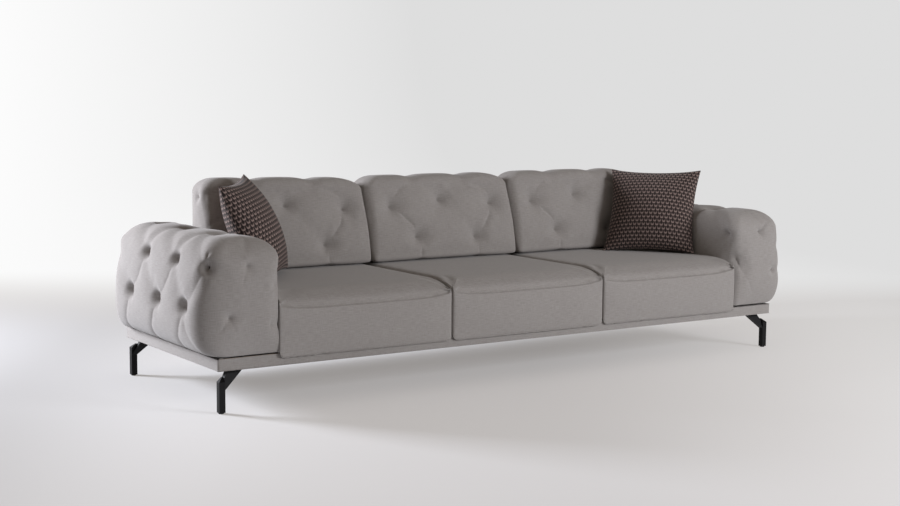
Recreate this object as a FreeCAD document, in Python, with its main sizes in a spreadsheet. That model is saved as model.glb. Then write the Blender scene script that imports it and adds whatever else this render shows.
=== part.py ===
import FreeCAD, Part
import Sketcher
import math
import os
import re
from FreeCAD import Placement, Rotation, Vector

# A long upholstered sofa: X runs along its length, -Y is the front, Z is up, the floor is at zero.
doc = FreeCAD.newDocument("sofa")
sheet = doc.addObject("Spreadsheet::Sheet", "sizes")

# Driving dimensions, in millimetres and degrees
driving = {
    # Wooden base with its fabric band, on four legs
    "base_depth": 900,
    "leg_height": 160,
    "rail_height": 45,
    "rail_thick": 30,
    "band_thick": 2,
    "cross_width": 90,
    "end_cross_width": 110,
    "long_rail_lead": 10,
    "long_rail_width": 40,
    "block_side": 100,
    "dust_thick": 1.5,
    "dust_inset": 20,
    "dust_gap": 13,
    # Cranked steel legs
    "post_side": 24,
    "post_inset": 7,
    "post_top": 118,
    "post_peak": 134,
    "peak_side": 6,
    "flare_low": 88,
    "flare_near": 50,
    "flare_reach": 112,
    "flare_width": 22,
    "plate_thick": 4,
    "plate_near": 26,
    "plate_far": 140,
    "glide_radius": 10,
    "glide_thick": 4,
    # Fasteners
    "bolt_radius": 3,
    "bolt_head_radius": 6,
    "bolt_head_thick": 4,
    "bolt_length": 39,
    "bolt_play": 0.2,
    "leg_bolt_near": 62,
    "leg_bolt_far": 90,
    "leg_bolt_middle": 74,
    "arm_bolt_x": 82,
    "arm_bolt_y": 112,
    "arm_bolt_length": 48,
    # Arms
    "seat_width": 775,
    "arm_width": 237.5,
    "arm_lean_in": 12,
    "arm_gap": 1,
    "arm_top": 640,
    "arm_bulge": 76,
    "arm_end_bulge": 20,
    "arm_round": 95,
    "arm_belly": 0.38,
    "arm_fullness": 2.6,
    "arm_easing": 1.5,
    "arm_corner": 45,
    "arm_front_gain": 55,
    "arm_rear_gain": 95,
    "arm_inner_corner": 32,
    "corner_shrink": 0.4,
    "inner_shrink": 0.2,
    "arm_pad": 50,
    "arm_edge": 20,
    "arm_end": 25,
    "arm_pad_top": 55,
    "arm_foam": 15,
    "board_thick": 18,
    "arm_panel_thick": 12,
    "end_board_thick": 25,
    "arm_tuft_pitch": 270,
    "arm_tuft_middle": 65,
    "arm_tuft_upper": 538,
    "arm_tuft_lower": 370,
    "arm_tuft_depth": 36,
    "arm_front_tuft_pitch": 180,
    "arm_front_tuft_depth": 18,
    "arm_top_tuft_depth": 24,
    "arm_inner_tuft_depth": 22,
    # Seats
    "seat_gap": 0.5,
    "seat_overhang": 16,
    "seat_rear_gap": 25,
    "skirt_drop": 15,
    "seat_seam": 372,
    "seat_crown": 430,
    "seat_crown_run": 170,
    "seat_corner": 12,
    "seat_wall": 27,
    "seat_front_wall": 26,
    "seat_rear_wall": 15,
    "seat_rail_thick": 25,
    "seat_rail_height": 110,
    "seat_rear_lift": 30,
    "strap_width": 60,
    "strap_thick": 2,
    "strap_pitch": 108,
    "cross_strap_pitch": 190,
    "seat_foam": 51,
    "soft_gap": 0.3,
    # Sliding backs
    "back_gap": 2.5,
    "back_clear": 10,
    "back_depth": 232,
    "back_rear_gap": 70,
    "back_top": 801,
    "back_shoulder_depth": 143.5,
    "back_bulge": 14,
    "back_low_round": 18,
    "back_top_round": 46,
    "back_front_corner": 45,
    "back_rear_corner": 28,
    "panel_side": 55,
    "panel_low": 40,
    "panel_high": 66,
    "panel_thick": 18,
    "back_foam": 62,
    "back_tuft_pitch": 265,
    "back_tuft_upper": 686,
    "back_tuft_lower": 542,
    "back_tuft_depth": 28,
    "back_top_tuft_depth": 20,
    "back_side_tuft_in": 80,
    "back_side_tuft_z": 742,
    "tuft_waist": 4,
    "tuft_spread": 1.6,
    # Slide under the backs
    "carrier_offset": 250,
    "carrier_width": 36,
    "carrier_thick": 8,
    "carrier_inset": 9,
    "carrier_lift": 2,
    "carrier_head": 33,
    "carrier_bolt_low": 60,
    "carrier_bolt_high": 40,
    "carrier_bolt_length": 22,
    "runner_length": 351,
    "runner_play": 0.3,
    "channel_wall": 2,
    "channel_length": 360,
    "channel_rear_gap": 20,
    "notch_play": 1.7,
    "notch_height": 30,
    # Loose scatter cushions
    "cushion_side": 431,
    "cushion_thick": 180,
    "cushion_draw": 19,
    "cushion_ear_taper": 1.25,
    "cushion_wall": 8,
    "cushion_play": 0.4,
    "cushion_rest": 3,
    "cushion_lean": 26,
    "right_cushion_from_arm": 192.5,
    "right_cushion_from_back": 234,
    "right_cushion_turn": -53.6,
    "left_cushion_from_arm": 193.5,
    "left_cushion_from_back": 208,
    "left_cushion_turn": 55,
}
derived = {
    "base_length": "=3 * seat_width + 2 * arm_width",
    "back_rear": "=base_depth / 2 - back_rear_gap",
    "back_front": "=back_rear - back_depth",
    "channel_front": "=base_depth / 2 - channel_rear_gap - channel_length",
    "runner_front": "=base_depth / 2 - carrier_inset - runner_length",
    "long_rail_y": "=channel_front - long_rail_lead",
}
for row, (alias, value) in enumerate((driving | derived).items(), start=1):
    sheet.set(f"A{row}", str(value))
    sheet.setAlias(f"A{row}", alias)
doc.recompute()

# Formulas that several pieces share
base_top = "(leg_height + rail_height)"
rail_x = "(base_length / 2 - band_thick)"
rail_y = "(base_depth / 2 - band_thick)"
rail_in_x = "(base_length / 2 - band_thick - rail_thick)"
rail_in_y = "(base_depth / 2 - band_thick - rail_thick)"
rail_z = ("leg_height", base_top)
sides = (("left", -1), ("right", 1))
corners = (("front_left", -1, -1), ("front_right", 1, -1), ("rear_right", 1, 1), ("rear_left", -1, 1))
bays = (("left", -1), ("middle", 0), ("right", 1))
nodes = []


def size(alias):
    return float(sheet.get(alias))


def bind(item, prop, formula):
    # Every word in a formula is a cell of the sheet
    item.setExpression(prop, re.sub(r"[a-z][a-z_]*", lambda word: "sizes." + word.group(), formula))


def node(item):
    nodes.append(item)
    return item


def box(name, x, y, z):
    # x, y and z are pairs of formulas: where the block starts and ends
    block = doc.addObject("Part::Box", name)
    for prop, axis, (low, high) in zip(("Length", "Width", "Height"), "xyz", (x, y, z)):
        bind(block, prop, f"({high}) - ({low})")
        bind(block, f"Placement.Base.{axis}", low)
    return block


def centred(middle, width):
    return f"{middle} - {width} / 2", f"{middle} + {width} / 2"


def mirrored(side, low, high):
    return (low, high) if side > 0 else (f"-1 * ({high})", f"-1 * ({low})")


def group(name, pieces):
    together = doc.addObject("Part::Compound", name)
    together.Links = pieces
    return together


def joined(name, pieces):
    whole = doc.addObject("Part::MultiFuse", name)
    whole.Shapes = pieces
    whole.Refine = True
    return whole


def cut(name, base, tools):
    left_over = doc.addObject("Part::Cut", name)
    left_over.Base = base
    left_over.Tool = tools[0] if len(tools) == 1 else group(name + "_tools", tools)
    return left_over


def rod(name, radius, length, x, y, z, rotation=Rotation()):
    bar = doc.addObject("Part::Cylinder", name)
    bar.Placement = Placement(Vector(), rotation)
    bind(bar, "Radius", radius)
    bind(bar, "Height", length)
    for axis, formula in zip("xyz", (x, y, z)):
        bind(bar, f"Placement.Base.{axis}", formula)
    return bar


def bolt(name, length, x, y, z, rotation=Rotation()):
    # The head stands behind the point, and the shank runs on from it along the rotated Z axis
    along = rotation.multVec(Vector(0, 0, 1))
    start = [f"{place} - {round(step)} * bolt_head_thick" for place, step in zip((x, y, z), along)]
    head = rod(name + "_head", "bolt_head_radius", "bolt_head_thick", *start, rotation)
    shank = rod(name + "_shank", "bolt_radius", length, x, y, z, rotation)
    return joined(name, [head, shank])


def solid(name, shape):
    # A soft form that no primitive gives
    form = doc.addObject("Part::Feature", name)
    form.Shape = shape
    return form


def rounded_section(x, y, z, radii):
    # A flat outline with four rounded corners, in order (-x, -y), (+x, -y), (+x, +y), (-x, +y)
    corner_points = ((x[0], y[0]), (x[1], y[0]), (x[1], y[1]), (x[0], y[1]))
    inward = ((1, 1), (-1, 1), (-1, -1), (1, -1))
    arcs = []
    for turn, ((px, py), (ix, iy), radius) in enumerate(zip(corner_points, inward, radii)):
        centre = Vector(px + ix * radius, py + iy * radius, z)
        spokes = [math.radians(180 + 90 * turn + step) for step in (0, 45, 90)]
        arcs.append(Part.Arc(*[centre + Vector(math.cos(a), math.sin(a), 0) * radius for a in spokes]))
    edges = []
    for arc, following in zip(arcs, arcs[1:] + arcs[:1]):
        edges.append(arc.toShape())
        edges.append(Part.LineSegment(arc.EndPoint, following.StartPoint).toShape())
    return Part.Wire(edges)


def tuft(mouth, inward, depth):
    # A sewn-in tuft: a bell-mouthed hollow that narrows to the stitch
    waist = size("tuft_waist")
    spread = size("tuft_spread") * depth
    rim = waist + spread
    lip = 2 * depth
    bell = (spread ** 2 + depth ** 2) / (2 * depth)
    half_turn = math.atan2(spread, bell - depth) / 2
    bend = Vector(rim - bell * math.sin(half_turn), 0, bell - bell * math.cos(half_turn))
    outline = [
        Part.LineSegment(Vector(0, 0, -lip), Vector(rim, 0, -lip)),
        Part.LineSegment(Vector(rim, 0, -lip), Vector(rim, 0, 0)),
        Part.Arc(Vector(rim, 0, 0), bend, Vector(waist, 0, depth)),
        Part.LineSegment(Vector(waist, 0, depth), Vector(0, 0, depth)),
        Part.LineSegment(Vector(0, 0, depth), Vector(0, 0, -lip)),
    ]
    face = Part.Face(Part.Wire([line.toShape() for line in outline]))
    hollow = face.revolve(Vector(), Vector(0, 0, 1), 360)
    hollow.Placement = Placement(mouth, Rotation(Vector(0, 0, 1), inward))
    return hollow


# Base: a glued wooden frame with a fabric band round it
def build_base():
    full_x = (f"-1 * {rail_x}", rail_x)
    inner_y = (f"-1 * {rail_in_y}", rail_in_y)
    node(box("base_front_rail", full_x, (f"-1 * {rail_y}", f"-1 * {rail_in_y}"), rail_z))
    node(box("base_rear_rail", full_x, (rail_in_y, rail_y), rail_z))
    for word, side in sides:
        node(box(f"base_{word}_rail", mirrored(side, rail_in_x, rail_x), inner_y, rail_z))
    crossings = []
    for word, side in sides:
        inner = centred(f"{side} * seat_width / 2", "cross_width")
        outer = centred(f"{side} * 1.5 * seat_width", "end_cross_width")
        crossings.append(box(f"inner_cross_{word}", inner, inner_y, rail_z))
        crossings.append(box(f"outer_cross_{word}", outer, inner_y, rail_z))
    node(group("base_cross_rails", crossings))
    rail_run = ("long_rail_y", "long_rail_y + long_rail_width")
    bay_low = "(seat_width / 2 + cross_width / 2)"
    bay_high = "(1.5 * seat_width - end_cross_width / 2)"
    half_bay = "(seat_width / 2 - cross_width / 2)"
    bay_spans = [mirrored(-1, bay_low, bay_high), (f"-1 * {half_bay}", half_bay), (bay_low, bay_high)]
    long_rails = [box(f"long_rail_{i}", span, rail_run, rail_z) for i, span in enumerate(bay_spans)]
    node(group("base_long_rails", long_rails))
    outside = box("band_outside", ("-1 * base_length / 2", "base_length / 2"),
                  ("-1 * base_depth / 2", "base_depth / 2"), rail_z)
    inside = box("band_inside", full_x, (f"-1 * {rail_y}", rail_y), rail_z)
    node(cut("base_band", outside, [inside]))
    dust_z = ("leg_height - dust_thick", "leg_height")
    long_x = "(base_length / 2 - dust_inset)"
    long_y = "(base_depth / 2 - plate_far - dust_gap)"
    wide_x = "(base_length / 2 - plate_far - dust_gap)"
    wide_y = "(base_depth / 2 - dust_inset)"
    long_sheet = box("dust_long", (f"-1 * {long_x}", long_x), (f"-1 * {long_y}", long_y), dust_z)
    wide_sheet = box("dust_wide", (f"-1 * {wide_x}", wide_x), (f"-1 * {wide_y}", wide_y), dust_z)
    node(joined("dust_cover", [long_sheet, wide_sheet]))


# Where the leg bolts and arm bolts stand, counted inwards from a corner of the base
def corner_place(side_x, side_y, in_x, in_y):
    return f"{side_x} * (base_length / 2 - {in_x})", f"{side_y} * (base_depth / 2 - {in_y})"


leg_bolt_places = (("leg_bolt_far", "leg_bolt_near"), ("leg_bolt_near", "leg_bolt_far"),
                   ("leg_bolt_middle", "leg_bolt_middle"))


def build_corner_blocks():
    blocks = []
    bolts = []
    for word, side_x, side_y in corners:
        x = mirrored(side_x, f"{rail_in_x} - block_side", rail_in_x)
        y = mirrored(side_y, f"{rail_in_y} - block_side", rail_in_y)
        block = box(f"block_{word}", x, y, rail_z)
        holes = []
        for number, place in enumerate(leg_bolt_places):
            spot = corner_place(side_x, side_y, *place)
            holes.append(rod(f"block_hole_{word}_{number}", "bolt_radius + bolt_play",
                             "bolt_length - plate_thick + bolt_play", *spot, "leg_height"))
            bolts.append(bolt(f"leg_bolt_{word}_{number}", "bolt_length", *spot, "leg_height - plate_thick"))
        spot = corner_place(side_x, side_y, "arm_bolt_x", "arm_bolt_y")
        depth = "arm_bolt_length - board_thick + bolt_play"
        holes.append(rod(f"block_arm_hole_{word}", "bolt_radius + bolt_play", depth, *spot,
                         f"{base_top} - ({depth})"))
        blocks.append(cut(f"drilled_block_{word}", block, holes))
    node(group("base_corner_blocks", blocks))
    node(group("leg_bolts", bolts))


# Cranked legs: an upright post at the corner, whose arm leans in along the sofa's length to a three-cornered plate
def outline(body, name, height, points, inward):
    # inward says which way the leg runs from its corner of the base, in x and in y
    sketch = body.newObject("Sketcher::SketchObject", name)
    plane = [item for item in body.Origin.OriginFeatures if item.Role == "XY_Plane"][0]
    sketch.AttachmentSupport = [(plane, "")]
    sketch.MapMode = "FlatFace"
    bind(sketch, "AttachmentOffset.Base.z", height)
    # The corners start round a circle, and the constraints then put them in place
    count = len(points)
    centre = Vector(size("plate_far"), size("plate_far"), 0) / 2
    spoke = Vector(size("plate_near"), size("plate_near"), 0) - centre
    turns = [Rotation(Vector(0, 0, 1), 360 * i / count) for i in range(count)]
    around = [centre + turn.multVec(spoke) for turn in turns]
    around = [Vector(inward[0] * spot.x, inward[1] * spot.y, 0) for spot in around]
    for start, end in zip(around, around[1:] + around[:1]):
        sketch.addGeometry(Part.LineSegment(start, end))
    for i in range(count):
        sketch.addConstraint(Sketcher.Constraint("Coincident", i, 2, (i + 1) % count, 1))
    for i, place in enumerate(points):
        for kind, formula, way, start in zip(("DistanceX", "DistanceY"), place, inward, (around[i].x, around[i].y)):
            rule = sketch.addConstraint(Sketcher.Constraint(kind, -1, 1, i, 1, start))
            bind(sketch, f"Constraints[{rule}]", f"{way} * ({formula})")
    return sketch


def square(low, high):
    return (low, low), (high, low), (high, high), (low, high)


def build_legs():
    far = "post_inset + post_side"
    tip = "post_inset + post_side - peak_side"
    wide = f"{far} + flare_width"
    arm_end = (("flare_near", far), ("flare_reach", far), ("flare_reach", wide), ("flare_near", wide))
    triangle = (("plate_near", "plate_near"), ("plate_far", "plate_near"), ("plate_near", "plate_far"))
    plate_z = "leg_height - plate_thick"
    glides = []
    for word, side_x, side_y in corners:
        inward = (-side_x, -side_y)
        leg = doc.addObject("PartDesign::Body", f"leg_{word}")
        post = leg.newObject("PartDesign::Pad", f"post_{word}")
        post.Profile = outline(leg, f"post_outline_{word}", "glide_thick", square("post_inset", far), inward)
        bind(post, "Length", "post_top - glide_thick")
        peak = leg.newObject("PartDesign::AdditiveLoft", f"peak_{word}")
        peak.Profile = outline(leg, f"peak_low_{word}", "post_top", square("post_inset", far), inward)
        peak.Sections = [outline(leg, f"peak_high_{word}", "post_peak", square(tip, far), inward)]
        peak.Ruled = True
        flare = leg.newObject("PartDesign::AdditiveLoft", f"flare_{word}")
        flare.Profile = outline(leg, f"flare_low_{word}", "flare_low", square("post_inset", far), inward)
        flare.Sections = [outline(leg, f"flare_high_{word}", plate_z, arm_end, inward)]
        flare.Ruled = True
        plate = leg.newObject("PartDesign::Pad", f"plate_{word}")
        plate.Profile = outline(leg, f"plate_outline_{word}", plate_z, triangle, inward)
        bind(plate, "Length", "plate_thick")
        leg.Tip = plate
        bind(leg, "Placement.Base.x", f"{side_x} * base_length / 2")
        bind(leg, "Placement.Base.y", f"{side_y} * base_depth / 2")
        holes = []
        for hole, place in enumerate(leg_bolt_places):
            spot = corner_place(side_x, side_y, *place)
            holes.append(rod(f"leg_hole_{word}_{hole}", "bolt_radius + bolt_play", "plate_thick",
                             *spot, plate_z))
        drilled = cut(f"drilled_leg_{word}", leg, holes)
        drilled.Label = f"steel_leg_{word}"
        node(drilled)
        middle = "post_inset + post_side / 2"
        spot = corner_place(side_x, side_y, f"({middle})", f"({middle})")
        glides.append(rod(f"glide_{word}", "glide_radius", "glide_thick", *spot, "0"))
    node(group("leg_glides", glides))


# Arms: a plywood box, a foam layer and a thick tufted cover
def arm_face():
    # The arms' inner faces press a little way over the outer seats
    return 1.5 * size("seat_width") - size("arm_lean_in")


def arm_swell(share):
    # Full from just above the base, fullest at the belly, easing in towards the top
    belly = size("arm_belly")
    if share < belly:
        return math.sqrt(1 - (1 - share / belly) ** size("arm_fullness"))
    return 1 - size("arm_easing") * (share - belly) ** 2


def arm_section(z):
    low = size("leg_height") + size("rail_height")
    high = size("arm_top")
    swell = arm_swell((z - low) / (high - low))
    over = max(0.0, z - (high - size("arm_round")))
    inset = size("arm_round") - math.sqrt(size("arm_round") ** 2 - over ** 2)
    x_in = arm_face() + inset
    x_out = size("base_length") / 2 + size("arm_bulge") * swell - inset
    y_end = size("base_depth") / 2 + size("arm_end_bulge") * swell - inset
    tight = size("arm_corner") - size("corner_shrink") * inset
    front = tight + size("arm_front_gain") * swell
    rear = tight + size("arm_rear_gain") * swell
    inner = size("arm_inner_corner") - size("inner_shrink") * inset
    return x_in, x_out, y_end, inner, front, rear


def arm_form():
    low = size("leg_height") + size("rail_height")
    shoulder = size("arm_top") - size("arm_round")
    shares = (0, 0.025, 0.075, 0.15, 0.26, 0.37, 0.49, 0.66, 0.83, 1)
    heights = [low + (shoulder - low) * share for share in shares]
    for turn in (18, 34, 49, 63, 75, 84):
        heights.append(shoulder + size("arm_round") * math.sin(math.radians(turn)))
    wires = []
    for z in heights:
        x_in, x_out, y_end, inner, front, rear = arm_section(z)
        wires.append(rounded_section((x_in, x_out), (-y_end, y_end), z, (inner, front, rear, inner)))
    return Part.makeLoft(wires, True, True)


def arm_tufts():
    # Rows of tufts in a diamond pattern round the outer side, the front and the top
    upper = size("arm_tuft_upper")
    lower = size("arm_tuft_lower")
    pitch = size("arm_tuft_pitch")
    middle = size("arm_tuft_middle")
    deep = size("arm_tuft_depth")
    hollows = []
    x_in, x_out, y_end, inner, front, rear = arm_section(upper)
    x_front = (x_in + size("base_length") / 2) / 2
    for side_y, corner in ((-1, front), (1, rear)):
        centre = Vector(x_out - corner, side_y * (y_end - corner), upper)
        away = Vector(1, side_y, 0).normalize()
        hollows.append(tuft(centre + away * corner, away.negative(), deep))
        hollows.append(tuft(Vector(x_out, middle + side_y * pitch / 2, upper), Vector(-1, 0, 0), deep))
    hollows.append(tuft(Vector(x_front, -y_end, upper), Vector(0, 1, 0), size("arm_front_tuft_depth")))
    front_inner = middle - 1.5 * pitch
    hollows.append(tuft(Vector(x_in, front_inner, upper), Vector(1, 0, 0), size("arm_inner_tuft_depth")))
    x_in, x_out, y_end, inner, front, rear = arm_section(lower)
    for step in (-1, 0, 1):
        y = middle + step * pitch
        hollows.append(tuft(Vector(x_out, y, lower), Vector(-1, 0, 0), deep))
        top = Vector(x_front, y, size("arm_top"))
        hollows.append(tuft(top, Vector(0, 0, -1), size("arm_top_tuft_depth")))
    for step in (-0.5, 0.5):
        x = x_front + step * size("arm_front_tuft_pitch")
        hollows.append(tuft(Vector(x, -y_end, lower), Vector(0, 1, 0), size("arm_front_tuft_depth")))
    return hollows


def build_arms():
    foam_in = "(1.5 * seat_width - arm_lean_in + arm_pad)"
    foam_out = "(base_length / 2 - arm_edge)"
    foam_y = "(base_depth / 2 - arm_end)"
    foam_top = "(arm_top - arm_pad_top)"
    frame_in = f"({foam_in} + arm_foam)"
    frame_out = f"({foam_out} - arm_foam)"
    frame_y = f"({foam_y} - arm_foam)"
    frame_top = f"({foam_top} - arm_foam)"
    frame_ys = (f"-1 * {frame_y}", frame_y)
    wall_z = (f"{base_top} + board_thick", f"{frame_top} - board_thick")
    tufted = arm_form().cut(arm_tufts())
    bolts = []
    for word, side in sides:
        frame_x = mirrored(side, frame_in, frame_out)
        foam_x = mirrored(side, foam_in, foam_out)
        foam_ys = (f"-1 * {foam_y}", foam_y)
        lower_board = box(f"arm_{word}_lower_board", frame_x, frame_ys, (base_top, wall_z[0]))
        holes = []
        for end in (-1, 1):
            spot = corner_place(side, end, "arm_bolt_x", "arm_bolt_y")
            holes.append(rod(f"arm_{word}_hole_{end + 1}", "bolt_radius + bolt_play", "board_thick",
                             *spot, base_top))
            downwards = Rotation(Vector(1, 0, 0), 180)
            bolts.append(bolt(f"arm_{word}_bolt_{end + 1}", "arm_bolt_length", *spot,
                              f"{base_top} + board_thick", downwards))
        drilled = cut(f"arm_{word}_drilled_board", lower_board, holes)
        upper_board = box(f"arm_{word}_upper_board", frame_x, frame_ys, (wall_z[1], frame_top))
        node(group(f"arm_{word}_boards", [drilled, upper_board]))
        inner_panel = box(f"arm_{word}_inner_panel",
                          mirrored(side, frame_in, f"{frame_in} + arm_panel_thick"), frame_ys, wall_z)
        outer_panel = box(f"arm_{word}_outer_panel",
                          mirrored(side, f"{frame_out} - arm_panel_thick", frame_out), frame_ys, wall_z)
        node(group(f"arm_{word}_side_panels", [inner_panel, outer_panel]))
        between = mirrored(side, f"{frame_in} + arm_panel_thick", f"{frame_out} - arm_panel_thick")
        ends = [box(f"arm_{word}_end_{end + 1}", between,
                    mirrored(end, f"{frame_y} - end_board_thick", frame_y), wall_z) for end in (-1, 1)]
        node(group(f"arm_{word}_end_boards", ends))
        foam_block = box(f"arm_{word}_foam_block", foam_x, foam_ys, (base_top, foam_top))
        frame_space = box(f"arm_{word}_frame_space", frame_x, frame_ys, (base_top, frame_top))
        node(cut(f"arm_{word}_foam", foam_block, [frame_space]))
        shape = tufted if side > 0 else tufted.mirror(Vector(), Vector(1, 0, 0))
        form = solid(f"arm_{word}_form", shape)
        foam_space = box(f"arm_{word}_foam_space", foam_x, foam_ys, (base_top, foam_top))
        node(cut(f"arm_{word}_cover", form, [foam_space]))
    node(group("arm_bolts", bolts))


def bay_ends(bay, gap):
    # A bay's two sides, kept clear of its neighbours and of the arms
    limit = arm_face() - size("arm_gap") - gap
    left = (bay - 0.5) * size("seat_width") + gap
    right = (bay + 0.5) * size("seat_width") - gap
    return max(left, -limit), min(right, limit)


# Seats: rails, webbing, foam and a crowned cover whose front panel hangs over the base
def seat_form(bay):
    low = size("leg_height") + size("rail_height") - size("skirt_drop")
    seam = size("seat_seam")
    rise = size("seat_crown") - seam
    soft = size("seat_corner")
    steps = [(low, soft / 3), (low + soft / 2, soft / 12), ((low + seam) / 2, 0), (seam, soft / 12)]
    for turn in (16, 31, 45, 58, 70, 81, 90):
        inset = size("seat_crown_run") * (1 - math.cos(math.radians(turn)))
        steps.append((seam + rise * math.sin(math.radians(turn)), inset))
    left, right = bay_ends(bay, size("seat_gap"))
    front = -size("base_depth") / 2 - size("seat_overhang")
    rear = size("base_depth") / 2 - size("seat_rear_gap")
    wires = []
    for z, inset in steps:
        x = (left + inset, right - inset)
        wires.append(rounded_section(x, (front + inset, rear - inset), z, [soft + inset / 2] * 4))
    return Part.makeLoft(wires, True, True)


def channel_x(bay, side, width):
    return centred(f"({bay} * seat_width + {side} * carrier_offset)", width)


def build_seats():
    rail_top = f"({base_top} + seat_rail_height)"
    strap_top = f"({rail_top} + strap_thick)"
    foam_low = f"({rail_top} + 2 * strap_thick)"
    foam_top = f"({foam_low} + seat_foam)"
    front = "(-1 * base_depth / 2 - seat_overhang + seat_front_wall)"
    rear = "(base_depth / 2 - seat_rear_gap - seat_rear_wall)"
    rail_zs = (base_top, rail_top)
    side_y = (f"{front} + seat_rail_thick", f"{rear} - seat_rail_thick")
    for word, bay in bays:
        half = "(seat_width / 2 - seat_gap - seat_wall)"
        left = f"({bay} * seat_width - {half})"
        right = f"({bay} * seat_width + {half})"
        whole_x = (left, right)
        rails = [
            box(f"seat_{word}_front_rail", whole_x, (front, side_y[0]), rail_zs),
            box(f"seat_{word}_rear_rail", whole_x, (side_y[1], rear),
                (f"{base_top} + seat_rear_lift", rail_top)),
            box(f"seat_{word}_left_rail", (left, f"{left} + seat_rail_thick"), side_y, rail_zs),
            box(f"seat_{word}_right_rail", (f"{right} - seat_rail_thick", right), side_y, rail_zs),
        ]
        node(group(f"seat_{word}_frame", rails))
        straps = []
        for step in (-2.5, -1.5, -0.5, 0.5, 1.5, 2.5):
            strap_x = centred(f"({bay} * seat_width + {step} * strap_pitch)", "strap_width")
            straps.append(box(f"seat_{word}_strap_{len(straps)}", strap_x, (front, rear),
                              (rail_top, strap_top)))
        for step in (-1.5, -0.5, 0.5, 1.5):
            strap_y = centred(f"(({front} + {rear}) / 2 + {step} * cross_strap_pitch)", "strap_width")
            straps.append(box(f"seat_{word}_strap_{len(straps)}", whole_x, strap_y,
                              (strap_top, foam_low)))
        node(group(f"seat_{word}_webbing", straps))
        node(box(f"seat_{word}_foam", whole_x, (front, rear), (foam_low, foam_top)))
        form = solid(f"seat_{word}_form", seat_form(bay))
        below = box(f"seat_{word}_below", centred(f"{bay} * seat_width", "seat_width"),
                    ("-1 * base_depth / 2 - soft_gap", "base_depth / 2"),
                    ("leg_height", base_top))
        inside = box(f"seat_{word}_inside", whole_x, (front, rear), ("leg_height", foam_top))
        tools = [below, inside]
        for side in (-1, 1):
            notch_x = channel_x(bay, side, "(carrier_width + 2 * (runner_play + channel_wall + notch_play))")
            tools.append(box(f"seat_{word}_notch_{side + 1}", notch_x, (rear, "base_depth / 2"),
                             ("leg_height", f"{base_top} + notch_height")))
        node(cut(f"seat_{word}_cover", form, tools))


# Backs: wedge-shaped tufted cushions on a plywood panel, carried clear of the seats
def back_slope():
    # How far the front runs to the rear between its foot and its shoulder, and over what height
    low = size("seat_crown") + size("back_clear")
    shoulder = size("back_top") - size("back_top_round")
    return size("back_rear") - size("back_shoulder_depth") - size("back_front"), shoulder - low


def back_face(z):
    # Where the leaning front stands at a height, with its slight swell
    low = size("seat_crown") + size("back_clear")
    run, rise = back_slope()
    share = min(z - low, rise) / rise
    return size("back_front") + run * share - size("back_bulge") * math.sin(math.pi * share)


def back_form(bay):
    low = size("seat_crown") + size("back_clear")
    low_round = size("back_low_round")
    top_round = size("back_top_round")
    shoulder = size("back_top") - top_round
    steps = []
    for turn in (0, 25, 50, 90):
        away = math.radians(turn)
        steps.append((low + low_round * (1 - math.cos(away)), low_round * (1 - math.sin(away))))
    belly = low + low_round
    steps += [(belly + (shoulder - belly) * share, 0) for share in (0.2, 0.4, 0.6, 0.8, 1)]
    for turn in (18, 36, 54, 70):
        away = math.radians(turn)
        steps.append((shoulder + top_round * math.sin(away), top_round * (1 - math.cos(away))))
    steps.append((size("back_top"), top_round))
    left, right = bay_ends(bay, size("back_gap"))
    wires = []
    for z, inset in steps:
        front_corner = size("back_front_corner") - size("corner_shrink") * inset
        rear_corner = size("back_rear_corner") - size("inner_shrink") * inset
        x = (left + inset, right - inset)
        y = (back_face(z) + inset, size("back_rear") - inset)
        wires.append(rounded_section(x, y, z, (front_corner, front_corner, rear_corner, rear_corner)))
    return Part.makeLoft(wires, True, True)


def back_tufts(bay):
    run, rise = back_slope()
    inward = Vector(0, rise, -run).normalize()
    middle = bay * size("seat_width")
    pitch = size("back_tuft_pitch")
    places = [(step, size("back_tuft_upper")) for step in (-1, 0, 1)]
    places += [(step, size("back_tuft_lower")) for step in (-0.5, 0.5)]
    hollows = []
    for step, z in places:
        mouth = Vector(middle + step * pitch, back_face(z), z)
        hollows.append(tuft(mouth, inward, size("back_tuft_depth")))
    top = size("back_top")
    top_y = back_face(top) + size("back_top_round")
    slanting = Vector(0, 0.5, -1)
    for step in (-0.5, 0.5):
        mouth = Vector(middle + step * pitch, top_y, top)
        hollows.append(tuft(mouth, slanting, size("back_top_tuft_depth")))
    if bay:
        left, right = bay_ends(bay, size("back_gap"))
        side_y = size("back_rear") - size("back_side_tuft_in")
        mouth = Vector(right if bay > 0 else left, side_y, size("back_side_tuft_z"))
        hollows.append(tuft(mouth, Vector(-bay, 0, 0), size("back_top_tuft_depth")))
    return hollows


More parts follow.
